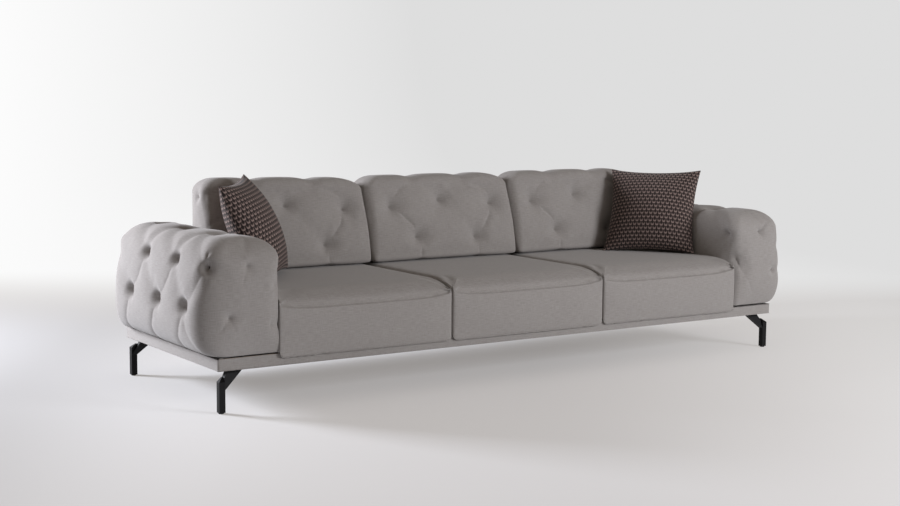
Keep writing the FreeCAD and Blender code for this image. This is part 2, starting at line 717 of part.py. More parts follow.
def build_backs():
    low = "(seat_crown + back_clear)"
    half = "(seat_width / 2 - back_gap - panel_side)"
    panel_z = (f"({low} + panel_low)", "(back_top - panel_high)")
    panel_y = ("back_rear - panel_thick", "back_rear")
    foam_y = ("back_rear - panel_thick - back_foam", "back_rear - panel_thick")
    upright_rear = "(base_depth / 2 - carrier_inset)"
    upright_y = (f"{upright_rear} - carrier_thick", upright_rear)
    runner_low = f"({base_top} + channel_wall + runner_play)"
    bend_low = f"({panel_z[0]} + carrier_lift)"
    plate_top = f"({panel_z[1]} - carrier_head)"
    bolt_levels = (f"({bend_low} + carrier_bolt_low)", f"({plate_top} - carrier_bolt_high)")
    forwards = Rotation(Vector(1, 0, 0), 90)
    channels = []
    for word, bay in bays:
        panel_x = (f"{bay} * seat_width - {half}", f"{bay} * seat_width + {half}")
        form = solid(f"back_{word}_form", back_form(bay).cut(back_tufts(bay)))
        inside = box(f"back_{word}_inside", panel_x, (foam_y[0], "base_depth / 2"), panel_z)
        node(cut(f"back_{word}_cover", form, [inside]))
        node(box(f"back_{word}_foam", panel_x, foam_y, panel_z))
        panel = box(f"back_{word}_board", panel_x, panel_y, panel_z)
        panel_holes = []
        carriers = []
        bolts = []
        for side in (-1, 1):
            bar_x = channel_x(bay, side, "carrier_width")
            name = f"back_{word}_carrier_{side + 1}"
            strips = [
                box(name + "_runner", bar_x, ("runner_front", upright_rear),
                    (runner_low, f"{runner_low} + carrier_thick")),
                box(name + "_upright", bar_x, upright_y, (runner_low, f"{bend_low} + carrier_thick")),
                box(name + "_bend", bar_x, ("back_rear", upright_rear),
                    (bend_low, f"{bend_low} + carrier_thick")),
                box(name + "_plate", bar_x, ("back_rear", "back_rear + carrier_thick"),
                    (bend_low, plate_top)),
            ]
            bar_holes = []
            for step, level in enumerate(bolt_levels):
                spot = (f"({bay} * seat_width + {side} * carrier_offset)",
                        "(back_rear + carrier_thick)", level)
                bolts.append(bolt(f"{name}_bolt_{step}", "carrier_bolt_length", *spot, forwards))
                bar_holes.append(rod(f"{name}_hole_{step}", "bolt_radius + bolt_play", "carrier_thick",
                                     *spot, forwards))
                panel_holes.append(rod(f"{name}_panel_hole_{step}", "bolt_radius + bolt_play",
                                       "carrier_bolt_length - carrier_thick + bolt_play",
                                       spot[0], "back_rear", spot[2], forwards))
            carriers.append(cut(name, joined(name + "_bar", strips), bar_holes))
            tube_x = channel_x(bay, side, "(carrier_width + 2 * (runner_play + channel_wall))")
            hole_x = channel_x(bay, side, "(carrier_width + 2 * runner_play)")
            tube_y = ("channel_front", "base_depth / 2 - channel_rear_gap")
            tube_top = f"{base_top} + carrier_thick + 2 * (runner_play + channel_wall)"
            tube = box(f"{name}_tube", tube_x, tube_y, (base_top, tube_top))
            bore = box(f"{name}_bore", hole_x, tube_y,
                       (f"{base_top} + channel_wall", f"{tube_top} - channel_wall"))
            channels.append(cut(f"{name}_channel", tube, [bore]))
        node(cut(f"back_{word}_panel", panel, panel_holes))
        node(group(f"back_{word}_carriers", carriers))
        node(group(f"back_{word}_bolts", bolts))
    node(group("slide_channels", channels))


# Scatter cushions: square pillows with pointed ears, standing across the corners of the seat
def pillow(side, thick, draw):
    # Each half is drawn in along its seam and swells to a round crown, with thin ears at the corners
    halves = []
    for face in (-1, 1):
        wires = []
        for turn in (0, 14, 28, 42, 55, 67, 78):
            away = math.radians(turn)
            reach = side / 2 * math.cos(away) ** size("cushion_ear_taper")
            bow = (side / 2 - draw) * math.cos(away) - reach
            z = face * thick / 2 * math.sin(away)
            spots = [Vector(reach * x, reach * y, z) for x, y in ((-1, -1), (1, -1), (1, 1), (-1, 1))]
            edges = []
            for start, end in zip(spots, spots[1:] + spots[:1]):
                middle = (start + end) / 2
                outward = Vector(middle.x, middle.y, 0).normalize()
                edges.append(Part.Arc(start, middle + outward * bow, end).toShape())
            wires.append(Part.Wire(edges))
        halves.append(Part.makeLoft(wires, True, True))
    return halves[0].fuse(halves[1]).removeSplitter()


def build_cushions():
    side = size("cushion_side")
    thick = size("cushion_thick")
    draw = size("cushion_draw")
    wall = size("cushion_wall")
    slack = wall + size("cushion_play")
    lean = size("cushion_lean")
    lift = size("seat_crown") + size("cushion_rest")
    for word, end in sides:
        turn = Rotation(Vector(0, 0, 1), size(f"{word}_cushion_turn"))
        stand = turn.multiply(Rotation(Vector(1, 0, 0), 90 - lean))
        foot_x = end * (arm_face() - size(f"{word}_cushion_from_arm"))
        foot_y = size("back_front") - size(f"{word}_cushion_from_back")
        foot = Vector(foot_x, foot_y, lift)
        centre = foot + stand.multVec(Vector(0, side / 2, 0))
        outside = pillow(side, thick, draw)
        space = pillow(side - 2 * wall, thick - 2 * wall, draw)
        filling = pillow(side - 2 * slack, thick - 2 * slack, draw)
        for name, shape in (("cover", outside.cut(space)), ("filling", filling)):
            piece = node(solid(f"scatter_{word}_{name}", shape))
            piece.Placement = Placement(centre, stand)


build_base()
build_corner_blocks()
build_legs()
build_arms()
build_seats()
build_backs()
build_cushions()
doc.recompute()

for item in doc.Objects:
    if "Invalid" in item.State or "Error" in item.State:
        raise RuntimeError(f"{item.Name} failed: {item.State}")
for item in nodes:
    if item.Shape.isNull() or not item.Shape.isValid():
        raise RuntimeError(f"{item.Label} has no valid shape")
os.makedirs("parts", exist_ok=True)
for item in nodes:
    item.Shape.exportStep(f"parts/{item.Label}.step")
    print(item.Label, len(item.Shape.Solids), round(item.Shape.Volume / 1000, 1), "cm3")
print(len(nodes), "sub-parts")
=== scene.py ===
import bpy
import bmesh
import math
import numpy as np
from mathutils import Matrix, Vector
from mathutils.kdtree import KDTree


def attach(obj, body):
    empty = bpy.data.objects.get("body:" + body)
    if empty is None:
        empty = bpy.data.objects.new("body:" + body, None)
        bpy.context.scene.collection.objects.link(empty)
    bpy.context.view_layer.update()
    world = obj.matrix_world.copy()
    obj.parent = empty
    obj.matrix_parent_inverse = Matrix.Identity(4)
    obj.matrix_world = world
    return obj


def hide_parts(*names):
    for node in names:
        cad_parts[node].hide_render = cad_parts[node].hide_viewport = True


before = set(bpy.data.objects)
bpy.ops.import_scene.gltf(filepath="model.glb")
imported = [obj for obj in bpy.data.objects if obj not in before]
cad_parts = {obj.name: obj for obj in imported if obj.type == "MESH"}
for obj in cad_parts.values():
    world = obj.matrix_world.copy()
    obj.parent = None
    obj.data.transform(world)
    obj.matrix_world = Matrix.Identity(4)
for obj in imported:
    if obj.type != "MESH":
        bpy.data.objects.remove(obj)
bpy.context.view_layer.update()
scene = bpy.context.scene
scene.view_settings.view_transform = "Standard"
print("frame loaded:", len(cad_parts), "nodes")


def toLinear(hexColour):
    channels = [int(hexColour[i:i + 2], 16) / 255 for i in (1, 3, 5)]
    return [c / 12.92 if c <= 0.04045 else ((c + 0.055) / 1.055) ** 2.4 for c in channels] + [1.0]


def addNode(tree, kind, inputs=None, **settings):
    node = tree.nodes.new(kind)
    for name, value in settings.items():
        setattr(node, name, value)
    for socket, value in (inputs or {}).items():
        if isinstance(value, bpy.types.NodeSocket):
            tree.links.new(value, node.inputs[socket])
        else:
            node.inputs[socket].default_value = value
    return node


def calc(tree, operation, *values):
    return addNode(tree, "ShaderNodeMath", dict(enumerate(values)), operation=operation).outputs[0]


def ramp(tree, value, fromRange=(0, 1), toRange=(0, 1), smooth=False):
    inputs = {"Value": value, "From Min": fromRange[0], "From Max": fromRange[1], "To Min": toRange[0],
              "To Max": toRange[1]}
    kind = "SMOOTHSTEP" if smooth else "LINEAR"
    return addNode(tree, "ShaderNodeMapRange", inputs, interpolation_type=kind).outputs[0]


def mixColours(tree, share, first, second, **settings):
    first, second = (toLinear(c) if isinstance(c, str) else c for c in (first, second))
    inputs = {"Factor": share, "A": first, "B": second}
    return addNode(tree, "ShaderNodeMix", inputs, data_type="RGBA", **settings).outputs["Result"]


def stretch(tree, vector, scale):
    return addNode(tree, "ShaderNodeMapping", {"Vector": vector, "Scale": scale}).outputs[0]


def addNoise(tree, vector, scale=1, detail=2, distortion=0):
    inputs = {"Vector": vector, "Scale": scale, "Detail": detail, "Distortion": distortion}
    return addNode(tree, "ShaderNodeTexNoise", inputs).outputs[0]


def addRelief(tree, height, plan):
    inputs = {"Height": height, "Strength": plan["relief"], "Distance": plan["reliefHeight"]}
    return addNode(tree, "ShaderNodeBump", inputs).outputs[0]


def startMaterial(name):
    material = bpy.data.materials.new(name)
    material.use_nodes = True
    tree = material.node_tree
    tree.nodes.clear()
    return material, tree, addNode(tree, "ShaderNodeTexCoord").outputs


def addSurface(tree, inputs):
    shader = addNode(tree, "ShaderNodeBsdfPrincipled", inputs)
    addNode(tree, "ShaderNodeOutputMaterial", {"Surface": shader.outputs[0]})


# Upholstery: a soft flat-woven polyester, matt, with slubby threads and a faint nap
upholsteryCloth = {"colour": "#9F9B98", "darkThread": "#8F8A87", "threadWidth": 0.0022, "threadLength": 0.03,
                   "warpShare": 0.6, "nap": 0.12, "napScale": 7, "napDetail": 3, "toneRange": (0.62, 1.1),
                   "relief": 0.2, "reliefHeight": 0.0008, "roughness": 0.94, "sheen": 0.2, "sheenRoughness": 0.6,
                   "gloss": 0.2}


def makeUpholstery():
    cloth = upholsteryCloth
    material, tree, place = startMaterial("woven polyester, warm grey")
    fine, long = 1 / cloth["threadWidth"], 1 / cloth["threadLength"]
    # real threads are under 1 mm, too fine for the render, so they are drawn 2.2 mm wide
    warp = addNoise(tree, stretch(tree, place["UV"], (fine, long, 1)))
    weft = addNoise(tree, stretch(tree, place["UV"], (long, fine, 1)))
    thread = calc(tree, "MULTIPLY_ADD", warp, cloth["warpShare"], weft)
    nap = addNoise(tree, place["Object"], cloth["napScale"], cloth["napDetail"])
    share = ramp(tree, calc(tree, "MULTIPLY_ADD", nap, cloth["nap"], thread), cloth["toneRange"])
    addSurface(tree, {"Base Color": mixColours(tree, share, cloth["darkThread"], cloth["colour"]),
                      "Normal": addRelief(tree, thread, cloth), "Roughness": cloth["roughness"],
                      "Sheen Weight": cloth["sheen"], "Sheen Roughness": cloth["sheenRoughness"],
                      "Specular IOR Level": cloth["gloss"]})
    return material


# Cushion cloth: a jacquard of small staggered scallops, dark with a pale crescent along each rim
jacquardCloth = {"dark": "#2B2322", "pale": "#94817B", "pitch": 0.0210, "row": 0.0180, "stagger": 0.5,
                 "scallopWidth": 1.9, "rimRise": (0.45, 0.85), "rimFall": (1.0, 1.1), "tipFade": (0.24, 0.44),
                 "grainScale": 420, "wear": (0.75, 1.2), "relief": 0.5, "reliefHeight": 0.0015, "roughness": 0.85,
                 "sheen": 0.1, "gloss": 0.25}


def makeJacquard():
    cloth = jacquardCloth
    material, tree, place = startMaterial("brown jacquard")
    spread = stretch(tree, place["UV"], (1 / cloth["pitch"], 1 / cloth["row"], 1))
    split = addNode(tree, "ShaderNodeSeparateXYZ", {"Vector": spread}).outputs
    shifted = calc(tree, "MULTIPLY_ADD", calc(tree, "FLOOR", split["Y"]), cloth["stagger"], split["X"])
    across = calc(tree, "PINGPONG", shifted, cloth["stagger"])
    wide = calc(tree, "MULTIPLY", across, cloth["scallopWidth"])
    down = calc(tree, "SUBTRACT", 1.0, calc(tree, "FRACT", split["Y"]))
    spot = addNode(tree, "ShaderNodeCombineXYZ", {"X": wide, "Y": down}).outputs[0]
    # 0 at the top of a scallop, 1 on its rim, more in the corners, which belong to the row below
    reach = addNode(tree, "ShaderNodeVectorMath", {0: spot}, operation="LENGTH").outputs["Value"]
    rise = ramp(tree, reach, cloth["rimRise"], smooth=True)
    fall = ramp(tree, reach, cloth["rimFall"], (1, 0), smooth=True)
    tips = ramp(tree, across, cloth["tipFade"], (1, 0), smooth=True)
    tone = calc(tree, "MULTIPLY", calc(tree, "MULTIPLY", rise, fall), tips)
    drawn = mixColours(tree, tone, cloth["dark"], cloth["pale"])
    worn = ramp(tree, addNoise(tree, place["UV"], cloth["grainScale"], 1), toRange=cloth["wear"])
    addSurface(tree, {"Base Color": mixColours(tree, 1.0, drawn, worn, blend_type="MULTIPLY"),
                      "Normal": addRelief(tree, tone, cloth), "Roughness": cloth["roughness"],
                      "Sheen Weight": cloth["sheen"], "Specular IOR Level": cloth["gloss"]})
    return material


# Legs: satin black powder coat over steel, with a fine orange peel
powderCoat = {"colour": "#0B0B0D", "roughness": (0.49, 0.61), "peel": 0.0025, "relief": 0.12, "reliefHeight": 0.0003,
              "gloss": 0.2}


def makePowderCoat():
    material, tree, place = startMaterial("black powder-coated steel")
    peel = addNoise(tree, place["Object"], 1 / powderCoat["peel"])
    addSurface(tree, {"Base Color": toLinear(powderCoat["colour"]), "Normal": addRelief(tree, peel, powderCoat),
                      "Roughness": ramp(tree, peel, toRange=powderCoat["roughness"]),
                      "Specular IOR Level": powderCoat["gloss"]})
    return material


# Zinc-plated steel of the slides and bolts: bright grey with faint drawing lines
drawnSteel = {"lines": (900, 25, 25), "smoother": 0.08, "rougher": 0.12}


def makeZincSteel(name, colour, roughness):
    material, tree, place = startMaterial(name)
    drawing = addNoise(tree, stretch(tree, place["Object"], drawnSteel["lines"]))
    limits = (roughness - drawnSteel["smoother"], roughness + drawnSteel["rougher"])
    addSurface(tree, {"Base Color": toLinear(colour), "Metallic": 1.0,
                      "Roughness": ramp(tree, drawing, toRange=limits)})
    return material


# Raw timber: growth rings drawn out along the rail, pale early wood and darker late wood
rawTimber = {"ringDetail": 4, "waver": 0.6, "toneRange": (0.35, 0.65), "relief": 0.15, "reliefHeight": 0.0005,
             "roughness": 0.7}


def makeTimber(name, pale, dark, ringScale):
    material, tree, place = startMaterial(name)
    grain = addNoise(tree, stretch(tree, place["Object"], ringScale), 1, rawTimber["ringDetail"], rawTimber["waver"])
    share = ramp(tree, grain, rawTimber["toneRange"])
    addSurface(tree, {"Base Color": mixColours(tree, share, dark, pale), "Normal": addRelief(tree, grain, rawTimber),
                      "Roughness": rawTimber["roughness"]})
    return material


# Coarse cloths and plastics that only show from below: a speckled grain on a dark ground
speckled = {"detail": 3, "toneRange": (0.4, 0.7), "relief": 0.2, "reliefHeight": 0.0005}


def makeSpeckled(name, ground, speck, grainSize, roughness):
    material, tree, place = startMaterial(name)
    grain = addNoise(tree, place["Object"], 1 / grainSize, speckled["detail"])
    share = ramp(tree, grain, speckled["toneRange"])
    addSurface(tree, {"Base Color": mixColours(tree, share, ground, speck), "Normal": addRelief(tree, grain, speckled),
                      "Roughness": roughness})
    return material


upholstery = makeUpholstery()
jacquard = makeJacquard()
powderBlack = makePowderCoat()
zincSteel = makeZincSteel("zinc-plated steel", "#B4B7BA", 0.38)
boltSteel = makeZincSteel("bright zinc-plated bolt", "#C6C8CA", 0.3)
softwood = makeTimber("planed spruce", "#D9B985", "#B98F57", (14, 160, 160))
plywood = makeTimber("birch plywood", "#D8BE95", "#C2A273", (60, 12, 60))
dustCloth = makeSpeckled("black non-woven polypropylene", "#161617", "#26262A", 0.0016, 0.95)
strapCloth = makeSpeckled("elastic webbing", "#2A2420", "#4A4038", 0.003, 0.9)
nylon = makeSpeckled("black nylon", "#141416", "#1C1C1F", 0.004, 0.5)
print("materials made")


def gridBlock(counts):
    # a cube of side 2, cut into so many cells along each axis
    bm = bmesh.new()
    bmesh.ops.create_cube(bm, size=2)
    for axis, count in enumerate(counts):
        along = [e for e in bm.edges if abs(e.verts[1].co[axis] - e.verts[0].co[axis]) > 1e-6]
        bmesh.ops.subdivide_edges(bm, edges=along, cuts=count - 1, use_grid_fill=True)
    return bm


def readVectors(source, name):
    flat = np.empty(len(source) * 3, np.float32)
    source.foreach_get(name, flat)
    return flat.reshape(-1, 3).astype(float)


def readPoints(mesh):
    return readVectors(mesh.vertices, "co")


def readNormals(mesh):
    return readVectors(mesh.vertex_normals, "vector")


def readIndices(source, name, each=1):
    flat = np.empty(len(source) * each, np.int32)
    source.foreach_get(name, flat)
    return flat


def writePoints(mesh, points):
    mesh.vertices.foreach_set("co", points.astype(np.float32).ravel())
    mesh.update()


def laySquareMap(mesh, cells, points):
    # each side of the block takes its cloth from the two directions it runs in
    corner = readIndices(mesh.loops, "vertex_index")
    start = readIndices(mesh.polygons, "loop_start")
    total = readIndices(mesh.polygons, "loop_total")
    middle = np.add.reduceat(cells[corner], start, axis=0) / total[:, None]
    side = np.repeat(np.argmax(np.abs(middle), axis=1), total)
    flat = np.where((side == 0)[:, None], points[corner][:, [1, 2]],
                    np.where((side == 1)[:, None], points[corner][:, [0, 2]], points[corner][:, [0, 1]]))
    layer = mesh.uv_layers.new(name="cloth")
    layer.data.foreach_set("uv", flat.astype(np.float32).ravel())


def roundedSpot(cells, half, radii):
    # from the square outline to one with four round corners; what lies inside is scaled with it
    reach = np.maximum(np.abs(cells).max(axis=1), 1e-9)
    rim = cells / reach[:, None] * half
    inner = half - radii[:, None]
    over = np.abs(rim) - inner
    inCorner = (over > 0).all(axis=1)
    length = np.maximum(np.linalg.norm(over, axis=1), 1e-9)
    bent = np.sign(rim) * (inner + over / length[:, None] * radii[:, None])
    return np.where(inCorner[:, None], bent, rim) * reach[:, None]


def smoothLine(points, count):
    # a curve through the points
    points = np.array(points, float)
    if len(points) == 2:
        share = np.linspace(0, 1, count)[:, None]
        return points[0] * (1 - share) + points[1] * share
    padded = np.vstack([2 * points[0] - points[1], points, 2 * points[-1] - points[-2]])
    line = []
    for t in np.linspace(0, len(points) - 1 - 1e-6, count):
        i = int(t)
        f = t - i
        a, b, c, d = padded[i:i + 4]
        line.append(0.5 * (2 * b + (c - a) * f + (2 * a - 5 * b + 4 * c - d) * f * f
                           + (3 * b - a - 3 * c + d) * f ** 3))
    return np.array(line)


def seatOnSurface(tree, points):
    return np.array([tree.find(Vector(p))[0] for p in points])


# Stitches: a tuft is a narrow core in a wider hollow, a pleat a sharp crease in a soft valley
stitch = {"coreShare": 0.28, "creaseWidth": 0.006, "linePoints": 15, "reach": 4, "blend": 4}


def pulledDepth(rest, tufts, pleats):
    # how deep the stitches and pleats pull each point in; where several meet, the deepest wins
    total = np.zeros(len(rest))
    if not tufts:
        return total
    tree = KDTree(len(rest))
    for i, p in enumerate(rest):
        tree.insert(p, i)
    tree.balance()
    for place, depth, spread, core in tufts:
        away = np.linalg.norm(rest - seatOnSurface(tree, [place])[0], axis=1)
        narrow = np.exp(-away / (stitch["coreShare"] * spread))
        pull = depth * (core * narrow + (1 - core) * np.exp(-(away / spread) ** 2))
        total += pull ** stitch["blend"]
    for points, depths, width, sharp in pleats:
        line = seatOnSurface(tree, smoothLine(points, stitch["linePoints"]))
        margin = stitch["reach"] * width
        inReach = (rest > line.min(axis=0) - margin) & (rest < line.max(axis=0) + margin)
        near = np.flatnonzero(inReach.all(axis=1))
        spots = rest[near]
        best = np.full(len(near), np.inf)
        depthHere = np.zeros(len(near))
        for i in range(len(line) - 1):
            run = line[i + 1] - line[i]
            t = np.clip((spots - line[i]) @ run / max(run @ run, 1e-12), 0, 1)
            away = np.linalg.norm(spots - line[i] - t[:, None] * run, axis=1)
            closer = away < best
            best = np.where(closer, away, best)
            share = (i + t) / (len(line) - 1)
            depthHere = np.where(closer, depths[0] + (depths[1] - depths[0]) * share, depthHere)
        crease = np.exp(-best / stitch["creaseWidth"])
        pull = depthHere * (sharp * crease + (1 - sharp) * np.exp(-(best / width) ** 2))
        total[near] += pull ** stitch["blend"]
    return total ** (1 / stitch["blend"])


# Cloth runs: light, soft cloth under air pressure, a few steps each
clothRun = {"steps": 20, "quality": 5, "mass": 0.3, "stiffness": 15, "bending": 2, "evenRounds": 12}


def swell(piece, held, pressure, cap):
    # a short cloth run: the held points stay, air pressure fills out the rest, and no point goes past the cap
    start = readPoints(piece.data)
    group = piece.vertex_groups.new(name="held")
    group.add([int(i) for i in np.flatnonzero(held)], 1.0, "REPLACE")
    cloth = piece.modifiers.new("cloth", "CLOTH")
    cloth.settings.quality = clothRun["quality"]
    cloth.settings.mass = clothRun["mass"]
    cloth.settings.tension_stiffness = clothRun["stiffness"]
    cloth.settings.compression_stiffness = clothRun["stiffness"]
    cloth.settings.bending_stiffness = clothRun["bending"]
    cloth.settings.use_pressure = True
    cloth.settings.uniform_pressure_force = pressure
    cloth.settings.vertex_group_mass = "held"
    cloth.settings.effector_weights.gravity = 0
    cloth.collision_settings.use_collision = False
    cloth.point_cache.frame_start = 1
    cloth.point_cache.frame_end = clothRun["steps"]
    for step in range(1, clothRun["steps"] + 1):
        scene.frame_set(step)
    swollen = readPoints(piece.evaluated_get(bpy.context.evaluated_depsgraph_get()).data)
    piece.modifiers.remove(cloth)
    piece.vertex_groups.remove(group)
    scene.frame_set(1)
    move = swollen - start
    far = np.maximum(np.linalg.norm(move, axis=1), 1e-9)
    return move * np.minimum(1, cap / far)[:, None]


def evenOut(mesh, values, rounds):
    # each point takes half of its neighbours' mean, so the coarse cloth run leaves no facets
    ends = readIndices(mesh.edges, "vertices", 2)
    first, last = ends.reshape(-1, 2).T
    count = np.bincount(ends, minlength=len(values))
    for _ in range(rounds):
        sums = [np.bincount(first, column[last], len(values)) + np.bincount(last, column[first], len(values))
                for column in values.T]
        values = 0.5 * values + 0.5 * np.stack(sums, axis=1) / count[:, None]
    return values


def addPiece(name, mesh, material, body, nodes):
    piece = bpy.data.objects.new(name, mesh)
    scene.collection.objects.link(piece)
    mesh.materials.append(material)
    mesh.shade_smooth()
    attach(piece, body)
    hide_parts(*nodes)
    return piece


def makePadded(name, form, tufts, pleats, pad, body, nodes):
    # form gives the smooth outside from a block of cells; stitches pull it in and a coarse cloth run fills it out
    mesh = bpy.data.meshes.new(name)
    bm = gridBlock(pad["cells"])
    bm.to_mesh(mesh)
    bm.free()
    piece = addPiece(name, mesh, upholstery, body, nodes)
    cells = readPoints(mesh)
    rest = form(cells)
    move = np.zeros_like(rest)
    writePoints(mesh, rest)
    depth = pulledDepth(rest, tufts, pleats) + pad["under"]
    writePoints(mesh, rest - readNormals(mesh) * depth[:, None])
    held = (depth > pad["heldDepth"]) | pad["heldWhere"](rest)
    move = swell(piece, held, pad["pressure"], pad["cap"])
    writePoints(mesh, cells)
    layer = mesh.attributes.new("swollen", "FLOAT_VECTOR", "POINT")
    layer.data.foreach_set("vector", move.astype(np.float32).ravel())
    # the block is cut finer while it is still even, then takes its form
    finer = piece.modifiers.new("finer", "SUBSURF")
    finer.subdivision_type = "SIMPLE"
    finer.levels = finer.render_levels = 2
    fineMesh = bpy.data.meshes.new_from_object(piece.evaluated_get(bpy.context.evaluated_depsgraph_get()))
    piece.modifiers.clear()
    piece.data = fineMesh
    bpy.data.meshes.remove(mesh)
    fineMesh.name = name
    cells = readPoints(fineMesh)
    move = evenOut(fineMesh, readVectors(fineMesh.attributes["swollen"].data, "vector"), clothRun["evenRounds"])
    fineMesh.attributes.remove(fineMesh.attributes["swollen"])
    rest = form(cells)
    laySquareMap(fineMesh, cells, rest)
    writePoints(fineMesh, rest)
    depth = pulledDepth(rest, tufts, pleats) + pad["under"]
    writePoints(fineMesh, rest - readNormals(fineMesh) * depth[:, None] + move)
    fineMesh.shade_smooth()
    print(name, len(fineMesh.polygons), "faces, swollen by up to", round(1000 * float(np.abs(move).max()), 1), "mm")
    return piece


# Arms: barrel-sided, round on top, deep tufts in a diamond round the outside; the left one is mirrored when done
arm = {"low": 0.205, "top": 0.650, "round": 0.086, "inner": 1.1505, "end": 1.404, "depth": 0.450,
       "bulge": 0.082, "endBulge": 0.020, "rearBulge": 0.030, "belly": 0.33, "fullness": 2.6, "easing": 1.3,
       "corner": 0.045, "frontGain": {"left": 0.055, "right": 0.025}, "rearGain": 0.105, "cornerEasing": 0.4,
       "innerFront": {"left": 0.008, "right": 0.045}, "innerRear": 0.032, "innerEasing": 0.1,
       "cells": (18, 50, 27), "pressure": 5.0, "cap": 0.016, "under": 0.006, "fill": 0.9, "heldDepth": 0.040,
       "heldRim": 0.004,
       # where the tufts sit: two rows on the side, one on top, one inside, and the corners
       "side": 1.48, "face": -0.469, "ridge": 1.275, "upper": 0.563, "lower": 0.386, "inside": 0.545,
       "highs": (0.10, -0.182), "lows": {"left": (0.223, -0.045, -0.30), "right": (0.223, -0.045, -0.265)},
       "tops": (0.335, 0.065, -0.205), "insides": (-0.40, -0.09),
       "rearCorner": (1.43, 0.43, 0.563), "frontCorner": (1.435, -0.43, 0.54),
       # tufts: depth, spread, share of the narrow core
       "sideTuft": (0.066, 0.036, 0.5), "cornerTuft": (0.046, 0.032, 0.5), "topTuft": (0.050, 0.038, 0.4),
       "insideTuft": (0.034, 0.03, 0.5),
       # pleats: depth at both ends, width, share of the sharp crease
       "slantPleat": ((0.009, 0.009), 0.040, 0.0), "bowedPleat": ((0.010, 0.010), 0.034), "bowedCrease": 0.4,
       "cornerCrease": 0.15, "ridgePleat": ((0.010, 0.010), 0.036, 0.1), "footPleat": ((0.011, 0.003), 0.022, 0.5),
       "insidePleat": ((0.009, 0.007), 0.034, 0.1), "bowShift": -0.02, "bowHeight": 0.45,
       "overSide": (1.40, 0.62), "overInside": (1.18, 0.625),
       "footPath": ((1.48, 0.03, 0.31), (1.465, 0.06, 0.26), (1.43, 0.075, 0.215)),
       # what only one arm has: tufts, pleats, and small stars on the front with their rays
       "ownTufts": {"left": [], "right": [((1.215, -0.469, 0.362), 0.012, 0.034, 0.3)]},
       "ownPleats": {
           "left": [([(1.48, -0.30, 0.386), (1.48, -0.325, 0.32), (1.455, -0.36, 0.265), (1.43, -0.40, 0.222)],
                     (0.006, 0.002), 0.022, 0.4),
                    ([(1.445, -0.435, 0.60), (1.435, -0.43, 0.54), (1.445, -0.435, 0.48)],
                     (0.010, 0.005), 0.02, 0.4)],
           "right": [([(1.318, -0.469, 0.552), (1.342, -0.469, 0.578), (1.362, -0.469, 0.605)],
                      (0.020, 0.003), 0.016, 0.55),
                     ([(1.161, -0.469, 0.426), (1.19, -0.469, 0.39), (1.221, -0.469, 0.348), (1.269, -0.469, 0.275)],
                      (0.013, 0.004), 0.026, 0.35)]},
       "starCore": 0.6, "rayDepth": 0.4, "rayWidth": 0.010, "rayCrease": 0.8,
       "stars": {
           "left": [((1.362, 0.354), 0.024, 0.030, ((0.018, 0.035), (-0.012, 0.04), (0.047, -0.059), (-0.006, -0.035),
                                                    (-0.035, -0.07))),
                    ((1.286, 0.546), 0.0204, 0.036, ((0.035, 0.047), (0.02, 0.05), (-0.03, 0.043), (-0.05, 0.01),
                                                     (0.03, -0.082))),
                    ((1.194, 0.323), 0.0108, 0.026, ((-0.004, 0.05), (0.004, -0.05)))],
           "right": [((1.318, 0.552), 0.0312, 0.040, ((0.022, 0.03), (-0.04, 0.02), (-0.05, -0.05), (0.01, -0.06))),
                     ((1.399, 0.364), 0.0288, 0.030, ((0.02, 0.032), (-0.03, 0.02), (-0.01, -0.05)))]}}
arm["heldWhere"] = lambda rest: rest[:, 2] < arm["low"] + arm["heldRim"]


def armOutline(z, inset):
    share = (z - arm["low"]) / (arm["top"] - arm["low"])
    below = np.sqrt(np.maximum(0, 1 - np.maximum(0, 1 - share / arm["belly"]) ** arm["fullness"]))
    above = 1 - arm["easing"] * (share - arm["belly"]) ** 2
    full = np.where(share < arm["belly"], below, above)
    inner = arm["inner"] + inset
    outer = arm["end"] + arm["bulge"] * full - inset
    front = arm["depth"] + arm["endBulge"] * full - inset
    rear = arm["depth"] + arm["rearBulge"] * full - inset
    return inner, outer, front, rear, full


def armForm(cells, word):
    straight = arm["top"] - arm["round"] - arm["low"]
    bend = arm["round"] * math.pi / 2
    run = (cells[:, 2] + 1) / 2 * (straight + bend)
    turn = np.clip((run - straight) / arm["round"], 0, math.pi / 2)
    z = arm["low"] + np.minimum(run, straight) + arm["round"] * np.sin(turn)
    inset = arm["round"] * (1 - np.cos(turn))
    inner, outer, front, rear, full = armOutline(z, inset)
    ahead = cells[:, 1] < 0
    outside = arm["corner"] + np.where(ahead, arm["frontGain"][word], arm["rearGain"]) * full
    inside = np.where(ahead, arm["innerFront"][word], arm["innerRear"])
    radii = np.where(cells[:, 0] > 0, outside - arm["cornerEasing"] * inset, inside + arm["innerEasing"] * inset)
    half = np.stack([(outer - inner) / 2, (front + rear) / 2], axis=1)
    spot = roundedSpot(cells[:, :2], half, radii)
    return np.stack([(inner + outer) / 2 + spot[:, 0], (rear - front) / 2 + spot[:, 1], z], axis=1)


